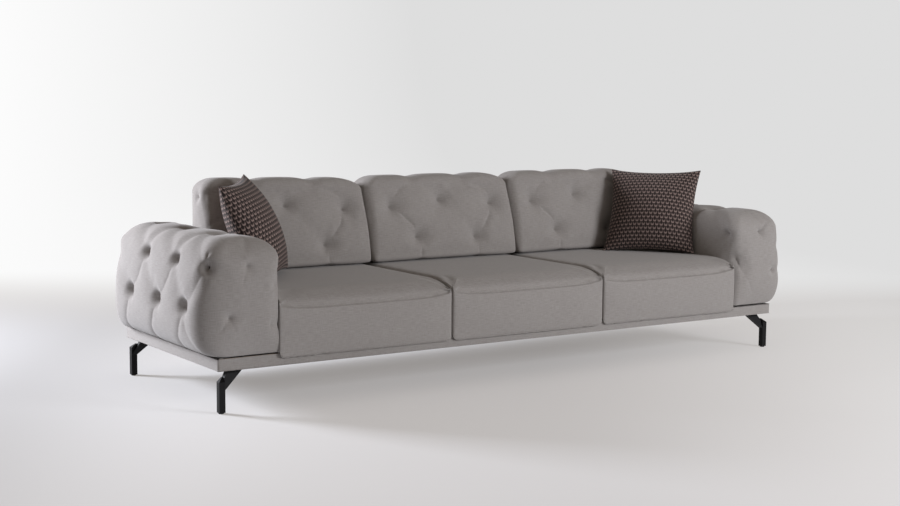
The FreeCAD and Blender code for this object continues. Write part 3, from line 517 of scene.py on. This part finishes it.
def armStitches(word):
    rearCorner = arm["rearCorner"]
    highs = [(arm["side"], y, arm["upper"]) for y in arm["highs"]]
    lows = [(arm["side"], y, arm["lower"]) for y in arm["lows"][word]]
    tops = [(arm["ridge"], y, arm["top"]) for y in arm["tops"]]
    insides = [(arm["inner"], y, arm["inside"]) for y in arm["insides"]]
    # the right arm is seen edge on at its front corner, which is smooth there
    corners = [arm["frontCorner"]] if word == "left" else []
    tufts = list(arm["ownTufts"][word])
    for spots, kind in ((highs + lows, "sideTuft"), ([rearCorner] + corners, "cornerTuft"), (tops, "topTuft"),
                        (insides, "insideTuft")):
        tufts += [(spot, *arm[kind]) for spot in spots]
    pleats = list(arm["ownPleats"][word])
    pleats += [([high, low], *arm["slantPleat"]) for high, low in zip((rearCorner, *highs), lows)]
    bowed = [(high, low, arm["bowedCrease"]) for high, low in zip(highs, lows)]
    bowed += [(corner, lows[2], arm["cornerCrease"]) for corner in corners]
    for high, low, crease in bowed:
        middle = (arm["side"], (high[1] + low[1]) / 2 + arm["bowShift"], arm["bowHeight"])
        pleats.append(([high, middle, low], *arm["bowedPleat"], crease))
    overSide = [(rearCorner, tops[0]), (highs[0], tops[0]), (highs[0], tops[1]), (highs[1], tops[1]),
                (highs[1], tops[2])] + [(corner, tops[2]) for corner in corners]
    overInside = [(tops[2], insides[0]), (tops[2], insides[1]), (tops[1], insides[1])]
    for pairs, (x, z), kind in ((overSide, arm["overSide"], "ridgePleat"),
                                (overInside, arm["overInside"], "insidePleat")):
        pleats += [([first, (x, (first[1] + last[1]) / 2, z), last], *arm[kind]) for first, last in pairs]
    for low in lows:
        pleats.append(([low] + [(x, low[1] + y, z) for x, y, z in arm["footPath"]], *arm["footPleat"]))
    for (x, z), depth, spread, rays in arm["stars"][word]:
        middle = (x, arm["face"], z)
        tufts.append((middle, depth, spread, arm["starCore"]))
        for dx, dz in rays:
            pleats.append(([middle, (x + dx, arm["face"], z + dz)], (arm["rayDepth"] * depth, 0), arm["rayWidth"],
                           arm["rayCrease"]))
    return tufts, pleats


for word in ("left", "right"):
    tufts, pleats = armStitches(word)
    nodes = [f"arm_{word}_cover", f"arm_{word}_foam"]
    piece = makePadded(f"arm_{word}_upholstery", lambda cells: armForm(cells, word), tufts, pleats, arm, "frame", nodes)
    if word == "left":
        bm = bmesh.new()
        bm.from_mesh(piece.data)
        bmesh.ops.scale(bm, vec=(-1, 1, 1), verts=bm.verts)
        bmesh.ops.reverse_faces(bm, faces=bm.faces)
        bm.to_mesh(piece.data)
        bm.free()
print("arms made")


# Seats: a front panel that hangs over the base, and a crowned top sewn to it with rising corners
seat = {"width": 0.775, "gap": 0.0006, "armSide": 1.158, "front": -0.466, "rear": 0.425, "low": 0.205, "hem": 0.190,
        "hemCorner": 0.02, "hemThick": 0.0143, "hemSlack": 0.002, "hemRows": 0.05, "hemRoll": 0.004, "seam": 0.372,
        "seamRise": 0.021, "seamRun": 0.05, "crown": 0.4305, "crownRun": 0.17, "sideRun": 0.08, "sideLevel": 0.86,
        "crownCurve": 0.7, "rollRun": 0.06, "rollCurve": 1.7, "wallRows": 0.58, "corner": 0.011, "armCorner": 0.004,
        "groove": 0.013, "grooveWidth": 0.0032, "panelBulge": 0.003, "bulgeRun": 0.1, "cells": (31, 37, 20),
        "pressure": 1.5, "cap": 0.004, "under": 0.002, "fill": 0.95, "heldDepth": 0.1, "heldRim": 0.006}
seat["heldWhere"] = lambda rest: ((rest[:, 2] < seat["low"] + seat["heldRim"])
                                  | (np.abs(rest[:, 2] - seat["seam"]) < seat["heldRim"]))


def seatRise(distance, run):
    # from 0 at an edge to 1 at the crown, steep at first
    return (1 - (1 - np.clip(distance / run, 0, 1)) ** 3) ** seat["crownCurve"]


def makeSeat(word, bay):
    left = max((bay - 0.5) * seat["width"] + seat["gap"], -seat["armSide"])
    right = min((bay + 0.5) * seat["width"] - seat["gap"], seat["armSide"])
    depth = seat["rear"] - seat["front"]

    def form(cells):
        # rows from front to rear: the first few make the thickness of the hanging hem
        share = (cells[:, 1] + 1) / 2
        hemShare = (seat["hemThick"] + seat["hemSlack"]) / depth
        along = np.interp(share, (0, seat["hemRows"], 1), (0, hemShare, 1))
        square = np.stack([cells[:, 0], 2 * along - 1], axis=1)
        # rows from the hem up the wall to the seam, dense at both, then over the roll
        rise = (cells[:, 2] + 1) / 2
        wall = np.clip(rise / seat["wallRows"], 0, 1)
        step = wall * wall * (3 - 2 * wall)
        over = np.clip((rise - seat["wallRows"]) / (1 - seat["wallRows"]), 0, 1)
        inset = seat["rollRun"] * over ** seat["rollCurve"]
        half = np.stack([(right - left) / 2 - inset, np.full(len(cells), depth / 2) - inset], axis=1)
        byArm = (np.sign(cells[:, 0]) == bay) & (bay != 0)
        spot = roundedSpot(square, half, np.where(byArm, seat["armCorner"], seat["corner"]) + inset / 2)
        x = (left + right) / 2 + spot[:, 0]
        y = (seat["front"] + seat["rear"]) / 2 + spot[:, 1]
        toSide = np.minimum(x - left, right - x)
        # by an arm the top stays full; only the sides between the seats round off
        toFree = (toSide, x - left, right - x)[bay]
        toEnd = np.minimum(y - seat["front"], seat["rear"] - y)
        cornerRun = np.sqrt(np.maximum(toSide, 0) ** 2 + np.maximum(toEnd, 0) ** 2)
        seam = seat["seam"] + seat["seamRise"] * np.exp(-cornerRun / seat["seamRun"])
        # the sides follow the top a little lower, so there is no valley between the seats
        sideRise = seat["sideLevel"] + (1 - seat["sideLevel"]) * seatRise(toFree, seat["sideRun"])
        endRise = seatRise(toEnd, seat["crownRun"])
        height = seat["crown"] - seam
        above = seam + height * endRise * sideRise
        level = seat["sideLevel"] * endRise
        seam = seam + height * level
        # the hem hangs in front of the base and is cut round at its corners
        cutRound = np.clip(seat["hemCorner"] - toSide, 0, seat["hemCorner"])
        hem = seat["hem"] + seat["hemCorner"] - np.sqrt(seat["hemCorner"] ** 2 - cutRound ** 2)
        bottom = np.where(y < seat["front"] + seat["hemThick"], hem, seat["low"])
        below = bottom + (seam - bottom) * step
        z = np.where(over > 0, above, below)
        # the seam is drawn in, the panel below it stands out a little, and the hem is rolled under
        rim = np.abs(square).max(axis=1) > 0.999
        drawn = seat["groove"] * (1 - level) * np.exp(-((z - seam) / seat["grooveWidth"]) ** 2) * rim
        drawn = drawn + seat["hemRoll"] * np.exp(-(z - bottom) / seat["hemRoll"]) * rim
        panel = np.sin(math.pi * step) * np.clip(toSide / seat["bulgeRun"], 0, 1) * (over == 0) * rim
        drawn = drawn - seat["panelBulge"] * panel
        y = np.where(spot[:, 1] < -half[:, 1] + 1e-6, y + drawn, y)
        side = np.abs(spot[:, 0]) > half[:, 0] - 1e-6
        x = np.where(side, x - np.sign(spot[:, 0]) * np.maximum(drawn, 0), x)
        return np.stack([x, y, z], axis=1)

    makePadded(f"seat_{word}_upholstery", form, [], [], seat, "frame", [f"seat_{word}_cover", f"seat_{word}_foam"])


bays = {"left": -1, "middle": 0, "right": 1}
for word, bay in bays.items():
    makeSeat(word, bay)
print("seats made")


# Backs: leaning wedges with a scalloped top, blind tufts and pleats between them
back = {"width": 0.775, "gap": 0.0025, "armSide": 1.147, "low": 0.440, "top": 0.801, "lowRound": 0.02,
        "topRound": 0.056, "lowEnd": 0.4, "topEnds": (1.4, 2.6), "front": 0.148, "rear": 0.3805,
        "shoulderDepth": 0.144, "bulge": 0.014, "leftCorner": 0.048, "rightCorner": 0.028, "rearCorner": 0.03,
        "cornerEasing": 0.3, "leastCorner": 0.004, "cells": (40, 13, 23),
        "lifts": {"left": (0.021, 0.009), "middle": (0.012, 0.012), "right": (0.014, 0.014)},
        "pressure": 3.5, "cap": 0.010, "under": 0.004, "fill": 0.85, "heldDepth": 0.022, "heldRim": 0.01,
        # tufts: where they sit, then depth, spread, share of the narrow core; the end tuft is on the outer backs
        "spots": ((-0.262, 0.683), (0.0, 0.706), (0.275, 0.683), (-0.144, 0.543), (0.168, 0.53)),
        "tuft": (0.045, 0.048, 0.45), "endSpot": (0.30, 0.742), "endTuft": (0.016, 0.03, 0.5),
        # shallow valleys over the top between the tufts, then the creases from tuft to tuft
        "valleys": (-0.1325, 0.1325), "valleyFrom": 0.775, "valleyPath": ((0.29, 0.812), (0.372, 0.77)),
        "valleyPleat": ((0.009, 0.009), 0.04, 0.0),
        "creases": (
            (((-0.262, 0.683), (-0.215, 0.745), (-0.15, 0.775)), (0.012, 0.008), 0.026, 0.5),
            (((-0.262, 0.683), (-0.32, 0.655), (-0.366, 0.638)), (0.012, 0.002), 0.02, 0.6),
            (((-0.262, 0.683), (-0.20, 0.628), (-0.16, 0.588), (-0.144, 0.543)), (0.013, 0.013), 0.022, 0.6),
            (((-0.144, 0.543), (-0.137, 0.50), (-0.135, 0.445)), (0.016, 0.004), 0.02, 0.6),
            (((0.168, 0.53), (0.177, 0.49), (0.179, 0.445)), (0.016, 0.004), 0.02, 0.6),
            (((0.275, 0.683), (0.255, 0.735), (0.16, 0.775)), (0.012, 0.007), 0.026, 0.45),
            (((0.275, 0.683), (0.24, 0.61), (0.19, 0.555), (0.168, 0.53)), (0.013, 0.013), 0.022, 0.6),
            (((0.275, 0.683), (0.335, 0.655), (0.366, 0.645)), (0.005, 0.001), 0.02, 0.4),
            (((0.0, 0.706), (0.05, 0.745), (0.115, 0.775)), (0.008, 0.008), 0.034, 0.0),
            (((0.0, 0.706), (-0.05, 0.75), (-0.12, 0.775)), (0.008, 0.008), 0.034, 0.0),
            (((0.0, 0.706), (-0.07, 0.62), (-0.144, 0.543)), (0.005, 0.005), 0.034, 0.0),
            (((0.0, 0.706), (0.09, 0.615), (0.168, 0.53)), (0.005, 0.005), 0.034, 0.0))}
back["heldWhere"] = lambda rest: rest[:, 1] > back["rear"] - back["heldRim"]


def backFront(z):
    rise = back["top"] - back["topRound"] - back["low"]
    share = np.clip((z - back["low"]) / rise, 0, 1)
    run = back["rear"] - back["shoulderDepth"] - back["front"]
    return back["front"] + run * share - back["bulge"] * np.sin(math.pi * share)


def makeBack(word, bay):
    left = max((bay - 0.5) * back["width"] + back["gap"], -back["armSide"])
    right = min((bay + 0.5) * back["width"] - back["gap"], back["armSide"])
    middle = bay * back["width"]

    def form(cells):
        low, high = back["lowRound"], back["topRound"]
        straight = back["top"] - back["low"] - low - high
        run = (cells[:, 2] + 1) / 2 * (straight + (low + high) * math.pi / 2)
        first = np.clip(run / low, 0, math.pi / 2)
        last = np.clip((run - low * math.pi / 2 - straight) / high, 0, math.pi / 2)
        flat = np.clip(run - low * math.pi / 2, 0, straight)
        z = back["low"] + low * (1 - np.cos(first)) + flat + high * np.sin(last)
        under, over = low * (1 - np.sin(first)), high * (1 - np.cos(last))
        inset = under + over
        near = backFront(z) + inset
        far = back["rear"] - inset
        topEnd = np.where(cells[:, 0] < 0, *back["topEnds"])
        half = np.stack([(right - left) / 2 - back["lowEnd"] * under - topEnd * over, (far - near) / 2], axis=1)
        share = (z - back["low"]) / (back["top"] - back["low"])
        ahead = np.where(cells[:, 0] < 0, back["leftCorner"], back["rightCorner"]) * (0.5 + 0.5 * share)
        radii = np.where(cells[:, 1] < 0, ahead, back["rearCorner"]) - back["cornerEasing"] * inset
        least = back["leastCorner"]
        spot = roundedSpot(cells[:, :2], half, np.clip(radii, least, half[:, 1] - least / 2))
        # each top stands a little proud, as filled
        atLeft, atRight = back["lifts"][word]
        z = z + (atLeft + (atRight - atLeft) * (cells[:, 0] + 1) / 2) * share ** 2
        return np.stack([(left + right) / 2 + spot[:, 0], (near + far) / 2 + spot[:, 1], z], axis=1)

    def on(x, z):
        return (middle + x, float(backFront(np.array([z]))[0]), z)

    tufts = [(on(*spot), *back["tuft"]) for spot in back["spots"]]
    pleats = [([on(x, back["valleyFrom"])] + [(middle + x, y, z) for y, z in back["valleyPath"]], *back["valleyPleat"])
              for x in back["valleys"]]
    pleats += [([on(*spot) for spot in line], *plan) for line, *plan in back["creases"]]
    if bay:
        tufts.append(((right if bay > 0 else left, *back["endSpot"]), *back["endTuft"]))
    makePadded(f"back_{word}_upholstery", form, tufts, pleats, back, f"back_{word}",
               [f"back_{word}_cover", f"back_{word}_foam"])


for word, bay in bays.items():
    makeBack(word, bay)
print("backs made")


# Scatter cushions: two squares sewn at the edge and filled out, with pointed ears, stood across the corners
scatter = {"side": 0.433, "thick": 0.176, "seamThick": 0.002, "draw": 0.019, "domeEdge": 2.2, "domeCurve": 0.6,
           "cells": 56, "pressure": 4, "cap": 0.012, "heldShare": 0.97, "evenRounds": 2, "seatTop": 0.4315,
           "fill": 0.85,
           "stands": {"right": {"foot": (0.978, -0.066), "turn": -51, "lean": 28.2, "roll": 0.6},
                      "left": {"foot": (-0.962, -0.056), "turn": 50.4, "lean": 24.5, "roll": 3.4}}}


def layClothMap(mesh, u, v, points):
    # the pattern is measured along the swollen cloth, so it keeps its size where the cushion turns away
    flat = np.empty((len(points), 2))
    each = len(points) // 2
    count = math.isqrt(each)
    for start in (0, each):
        order = start + np.lexsort((np.round(u[start:start + each], 4), np.round(v[start:start + each], 4)))
        grid = points[order].reshape(count, count, 3)
        for axis in (0, 1):
            along = 1 - axis
            steps = np.diff(grid, axis=along, prepend=np.take(grid, [0], along))
            run = np.cumsum(np.linalg.norm(steps, axis=2), axis=along)
            flat[order, axis] = (run - np.take(run, [count // 2], along)).ravel()
    corner = readIndices(mesh.loops, "vertex_index")
    mesh.uv_layers.new(name="cloth").data.foreach_set("uv", flat[corner].astype(np.float32).ravel())


def makeScatter(word):
    half = scatter["side"] / 2
    bm = bmesh.new()
    bmesh.ops.create_grid(bm, x_segments=scatter["cells"], y_segments=scatter["cells"], size=half)
    bmesh.ops.translate(bm, vec=(0, 0, scatter["seamThick"] / 2), verts=bm.verts)
    copy = bmesh.ops.duplicate(bm, geom=bm.verts[:] + bm.edges[:] + bm.faces[:])["geom"]
    lower = [g for g in copy if isinstance(g, bmesh.types.BMVert)]
    bmesh.ops.translate(bm, vec=(0, 0, -scatter["seamThick"]), verts=lower)
    bmesh.ops.reverse_faces(bm, faces=[g for g in copy if isinstance(g, bmesh.types.BMFace)])
    bmesh.ops.bridge_loops(bm, edges=[e for e in bm.edges if e.is_boundary])
    mesh = bpy.data.meshes.new(f"scatter_{word}_cushion")
    bm.to_mesh(mesh)
    bm.free()
    piece = addPiece(f"scatter_{word}_cushion", mesh, jacquard, f"scatter_{word}",
                     [f"scatter_{word}_cover", f"scatter_{word}_filling"])
    points = readPoints(mesh)
    u, v = points[:, 0] / half, points[:, 1] / half
    fall = [np.maximum(0, 1 - np.abs(w) ** scatter["domeEdge"]) for w in (u, v)]
    dome = (fall[0] * fall[1]) ** scatter["domeCurve"]
    points[:, 0] -= u * scatter["draw"] * (1 - v ** 2)
    points[:, 1] -= v * scatter["draw"] * (1 - u ** 2)
    points[:, 2] += np.sign(points[:, 2]) * scatter["thick"] / 2 * dome
    writePoints(mesh, points)
    held = np.minimum(np.abs(u), np.abs(v)) > scatter["heldShare"]
    move = swell(piece, held, scatter["pressure"], scatter["cap"])
    points = points + evenOut(mesh, move, scatter["evenRounds"])
    layClothMap(mesh, u, v, points)
    plan = scatter["stands"][word]
    stand = (Matrix.Rotation(math.radians(plan["turn"]), 3, "Z")
             @ Matrix.Rotation(math.radians(90 - plan["lean"]), 3, "X"))
    foot = np.array((*plan["foot"], scatter["seatTop"])) + np.array(stand @ Vector((0, half, 0)))
    stand = stand @ Matrix.Rotation(math.radians(plan["roll"]), 3, "Z")
    points = points @ np.array(stand).T + foot
    # it stands on the seat, so its lower edge is pressed flat there
    points[:, 2] = np.maximum(points[:, 2], scatter["seatTop"])
    writePoints(mesh, points)
    finer = piece.modifiers.new("finer", "SUBSURF")
    finer.levels = finer.render_levels = 1


for word in ("left", "right"):
    makeScatter(word)
print("scatter cushions made")


# Base band: upholstery cloth drawn round the wooden base and turned in above and below
band = {"length": 2.8, "depth": 0.9, "low": 0.160, "high": 0.205, "cornerRound": 0.006, "cornerSteps": 4,
        "edgeRound": 0.003, "edgeSteps": 3, "turnIn": 0.024, "thick": 0.0016}


def roundEdges(bm, edges, size, steps):
    bmesh.ops.bevel(bm, geom=edges, offset=size, affect="EDGES", segments=steps, profile=0.5, material=-1)


def makeBand():
    bm = bmesh.new()
    bmesh.ops.create_cube(bm, size=1)
    bmesh.ops.scale(bm, vec=(band["length"], band["depth"], band["high"] - band["low"]), verts=bm.verts)
    bmesh.ops.translate(bm, vec=(0, 0, (band["low"] + band["high"]) / 2), verts=bm.verts)
    upright = [e for e in bm.edges if abs(e.verts[0].co.z - e.verts[1].co.z) > 0.01]
    roundEdges(bm, upright, band["cornerRound"], band["cornerSteps"])
    level = [f for f in bm.faces if abs(f.normal.z) > 0.9]
    bmesh.ops.inset_individual(bm, faces=level, thickness=band["turnIn"])
    bmesh.ops.delete(bm, geom=level, context="FACES")
    rim = [e for e in bm.edges if len(e.link_faces) == 2
           and abs(abs(e.link_faces[0].normal.z) - abs(e.link_faces[1].normal.z)) > 0.9]
    roundEdges(bm, rim, band["edgeRound"], band["edgeSteps"])
    bmesh.ops.recalc_face_normals(bm, faces=bm.faces)
    mesh = bpy.data.meshes.new("base_band_cloth")
    layer = bm.loops.layers.uv.new("cloth")
    for face in bm.faces:
        axis = max(range(3), key=lambda i: abs(face.normal[i]))
        for loop in face.loops:
            loop[layer].uv = [loop.vert.co[i] for i in range(3) if i != axis]
    bm.to_mesh(mesh)
    bm.free()
    piece = addPiece("base_band_cloth", mesh, upholstery, "frame", ["base_band"])
    wall = piece.modifiers.new("thickness", "SOLIDIFY")
    wall.thickness = band["thick"]
    wall.offset = -1


makeBand()
print("base band made")

# The rest of the CAD nodes keep their shape and take their real materials
nodeFinish = {"dust_cover": dustCloth, "leg_bolts": boltSteel, "leg_glides": nylon, "arm_bolts": boltSteel,
              "slide_channels": zincSteel}
finishByPlace = (("base_{}", ("front_rail", "rear_rail", "left_rail", "right_rail", "cross_rails", "long_rails",
                              "corner_blocks"), softwood),
                 ("arm_left_{}", ("boards", "side_panels", "end_boards"), plywood),
                 ("arm_right_{}", ("boards", "side_panels", "end_boards"), plywood),
                 ("seat_{}_frame", bays, softwood),
                 ("seat_{}_webbing", bays, strapCloth),
                 ("back_{}_panel", bays, plywood),
                 ("back_{}_carriers", bays, zincSteel),
                 ("back_{}_bolts", bays, boltSteel),
                 ("steel_leg_{}", ("front_left", "front_right", "rear_right", "rear_left"), powderBlack))
for pattern, words, material in finishByPlace:
    nodeFinish.update({pattern.format(word): material for word in words})
# bent and welded steel has its edges broken
brokenEdge = {"weld": 0.00002, "width": 0.001, "steps": 2, "angle": 25}
for name, material in nodeFinish.items():
    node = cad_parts[name]
    node.data.materials.clear()
    node.data.materials.append(material)
    if name.startswith("steel_leg") or name.endswith("carriers"):
        weld = node.modifiers.new("merge", "WELD")
        weld.merge_threshold = brokenEdge["weld"]
        soft = node.modifiers.new("broken edges", "BEVEL")
        soft.width = brokenEdge["width"]
        soft.segments = brokenEdge["steps"]
        soft.limit_method = "ANGLE"
        soft.angle_limit = math.radians(brokenEdge["angle"])
print("CAD nodes finished")


# Stage: a pale sweep of paper, a soft warm world, a low lamp behind the left end and a larger one at the front right
studio = {"paper": "#E8EAED", "paperShadedLeft": "#A6A8AB", "roughness": 0.9, "gloss": 0.1,
          "halfWidth": 24, "nearEdge": -11, "farEdge": 14, "height": 7, "foldRound": 3.5, "foldSteps": 16,
          "away": (0.55, 0.83, 0), "across": (0.83, -0.55, 0), "along": (0.954, -0.3, 0),
          "leftRun": (-1.9, -0.8), "paintedLightRun": (-4.15, 3.81), "glow": (1.05, 0.73), "behindRun": (0.4, 3.2),
          "besideRun": (0.2, 2.4), "besideGlow": 0.6, "nearGlow": 0.32, "paintedShadeTint": "#FFF6F0", "farTint": "#FFFFFF",
          "world": "#FFF1E4", "worldStrength": 0.22,
          "lamps": {"left lamp": {"place": (-3.3, 2.4, 1.5), "aim": (-1.4, 0, 0.4), "size": 1.0, "power": 215,
                                  "colour": "#F5F7FF"},
                    "front lamp": {"place": (2.7, -5.2, 2.0), "aim": (0.2, 0, 0.4), "size": 1.9, "power": 205,
                                   "colour": "#FAFBFF"}}}


def makePaper():
    # the camera, and metal or glass, see the paper partly self-lit, so it stays pale without more light on the sofa
    paper, tree, place = startMaterial("matt paper")

    def reach(direction):
        inputs = {0: place["Object"], 1: studio[direction]}
        return addNode(tree, "ShaderNodeVectorMath", inputs, operation="DOT_PRODUCT").outputs["Value"]

    away, across, along = reach("away"), reach("across"), reach("along")
    # painted shade: the paper's own colour is a little darker under the left lamp, to hold back that lamp's pool of
    # light on it
    side = ramp(tree, across, studio["leftRun"], smooth=True)
    shader = addNode(tree, "ShaderNodeBsdfPrincipled",
                     {"Base Color": mixColours(tree, side, studio["paperShadedLeft"], studio["paper"]),
                      "Roughness": studio["roughness"], "Specular IOR Level": studio["gloss"]})
    # fully self-lit far behind, partly beside, and least near the sofa, where its shadow falls; there the glow is
    # tinted warm, a painted warm shade for that shadow
    behind = ramp(tree, away, studio["behindRun"], smooth=True)
    beside = ramp(tree, across, studio["besideRun"], (0, studio["besideGlow"]), smooth=True)
    far = ramp(tree, calc(tree, "MAXIMUM", behind, beside), toRange=(studio["nearGlow"], 1))
    # painted light: the glow is strongest at the left end and fades towards the right, standing in for the left lamp's
    # light on the paper
    glow = addNode(tree, "ShaderNodeEmission", {"Color": mixColours(tree, far, studio["paintedShadeTint"], studio["farTint"]),
                                                "Strength": ramp(tree, along, studio["paintedLightRun"], studio["glow"])})
    ray = addNode(tree, "ShaderNodeLightPath").outputs
    seen = calc(tree, "MAXIMUM", calc(tree, "MAXIMUM", ray["Is Camera Ray"], ray["Is Glossy Ray"]),
                ray["Is Transmission Ray"])
    mixed = addNode(tree, "ShaderNodeMixShader", {0: calc(tree, "MULTIPLY", seen, far), 1: shader.outputs[0],
                                                  2: glow.outputs[0]})
    addNode(tree, "ShaderNodeOutputMaterial", {"Surface": mixed.outputs[0]})
    return paper


def makeStage():
    near, far = studio["nearEdge"], studio["farEdge"]
    bm = bmesh.new()
    bmesh.ops.create_grid(bm, x_segments=1, y_segments=1, size=1)
    bmesh.ops.scale(bm, vec=(studio["halfWidth"], (far - near) / 2, 1), verts=bm.verts)
    bmesh.ops.translate(bm, vec=(0, (far + near) / 2, 0), verts=bm.verts)
    fold = [e for e in bm.edges if all(v.co.y > far - 0.1 for v in e.verts)]
    raised = bmesh.ops.extrude_edge_only(bm, edges=fold)["geom"]
    upper = [g for g in raised if isinstance(g, bmesh.types.BMVert)]
    bmesh.ops.translate(bm, vec=(0, 0, studio["height"]), verts=upper)
    fold = [e for e in bm.edges if all(v.co.y > far - 0.1 and v.co.z < 0.1 for v in e.verts)]
    roundEdges(bm, fold, studio["foldRound"], studio["foldSteps"])
    mesh = bpy.data.meshes.new("paper_sweep")
    bm.to_mesh(mesh)
    bm.free()
    mesh.shade_smooth()
    mesh.materials.append(makePaper())
    sweep = bpy.data.objects.new("paper_sweep", mesh)
    scene.collection.objects.link(sweep)
    world = bpy.data.worlds.new("studio")
    scene.world = world
    world.use_nodes = True
    world.node_tree.nodes.clear()
    sky = addNode(world.node_tree, "ShaderNodeBackground", {"Color": toLinear(studio["world"]),
                                                            "Strength": studio["worldStrength"]})
    addNode(world.node_tree, "ShaderNodeOutputWorld", {"Surface": sky.outputs[0]})
    for name, plan in studio["lamps"].items():
        lamp = bpy.data.lights.new(name, "AREA")
        lamp.size = plan["size"]
        lamp.energy = plan["power"]
        lamp.color = toLinear(plan["colour"])[:3]
        item = bpy.data.objects.new(name, lamp)
        item.location = plan["place"]
        item.visible_camera = False
        item.rotation_mode = "QUATERNION"
        item.rotation_quaternion = (Vector(plan["aim"]) - Vector(plan["place"])).to_track_quat("-Z", "Y")
        scene.collection.objects.link(item)


makeStage()


# Camera: worked out from the edges of the base and the feet in the photograph, taken as 900 by 506
viewpoint = {"place": (-3.5783, -5.2598, 1.1701), "yaw": 0.58473, "pitch": -0.10878, "roll": 0.0073,
             "focal": 1457.59, "frameWidth": 900, "sensorWidth": 36}


def makeCamera():
    yaw, pitch, roll = viewpoint["yaw"], viewpoint["pitch"], viewpoint["roll"]
    ahead = Vector((math.sin(yaw) * math.cos(pitch), math.cos(yaw) * math.cos(pitch), math.sin(pitch)))
    level = Vector((math.cos(yaw), -math.sin(yaw), 0))
    above = level.cross(ahead)
    right = math.cos(roll) * level + math.sin(roll) * above
    up = math.cos(roll) * above - math.sin(roll) * level
    lens = bpy.data.cameras.new("camera")
    lens.sensor_width = viewpoint["sensorWidth"]
    lens.lens = viewpoint["sensorWidth"] * viewpoint["focal"] / viewpoint["frameWidth"]
    camera = bpy.data.objects.new("camera", lens)
    turned = Matrix((right, up, -ahead)).transposed().to_4x4()
    camera.matrix_world = Matrix.Translation(viewpoint["place"]) @ turned
    scene.collection.objects.link(camera)
    scene.camera = camera


makeCamera()
print("stage and camera set")
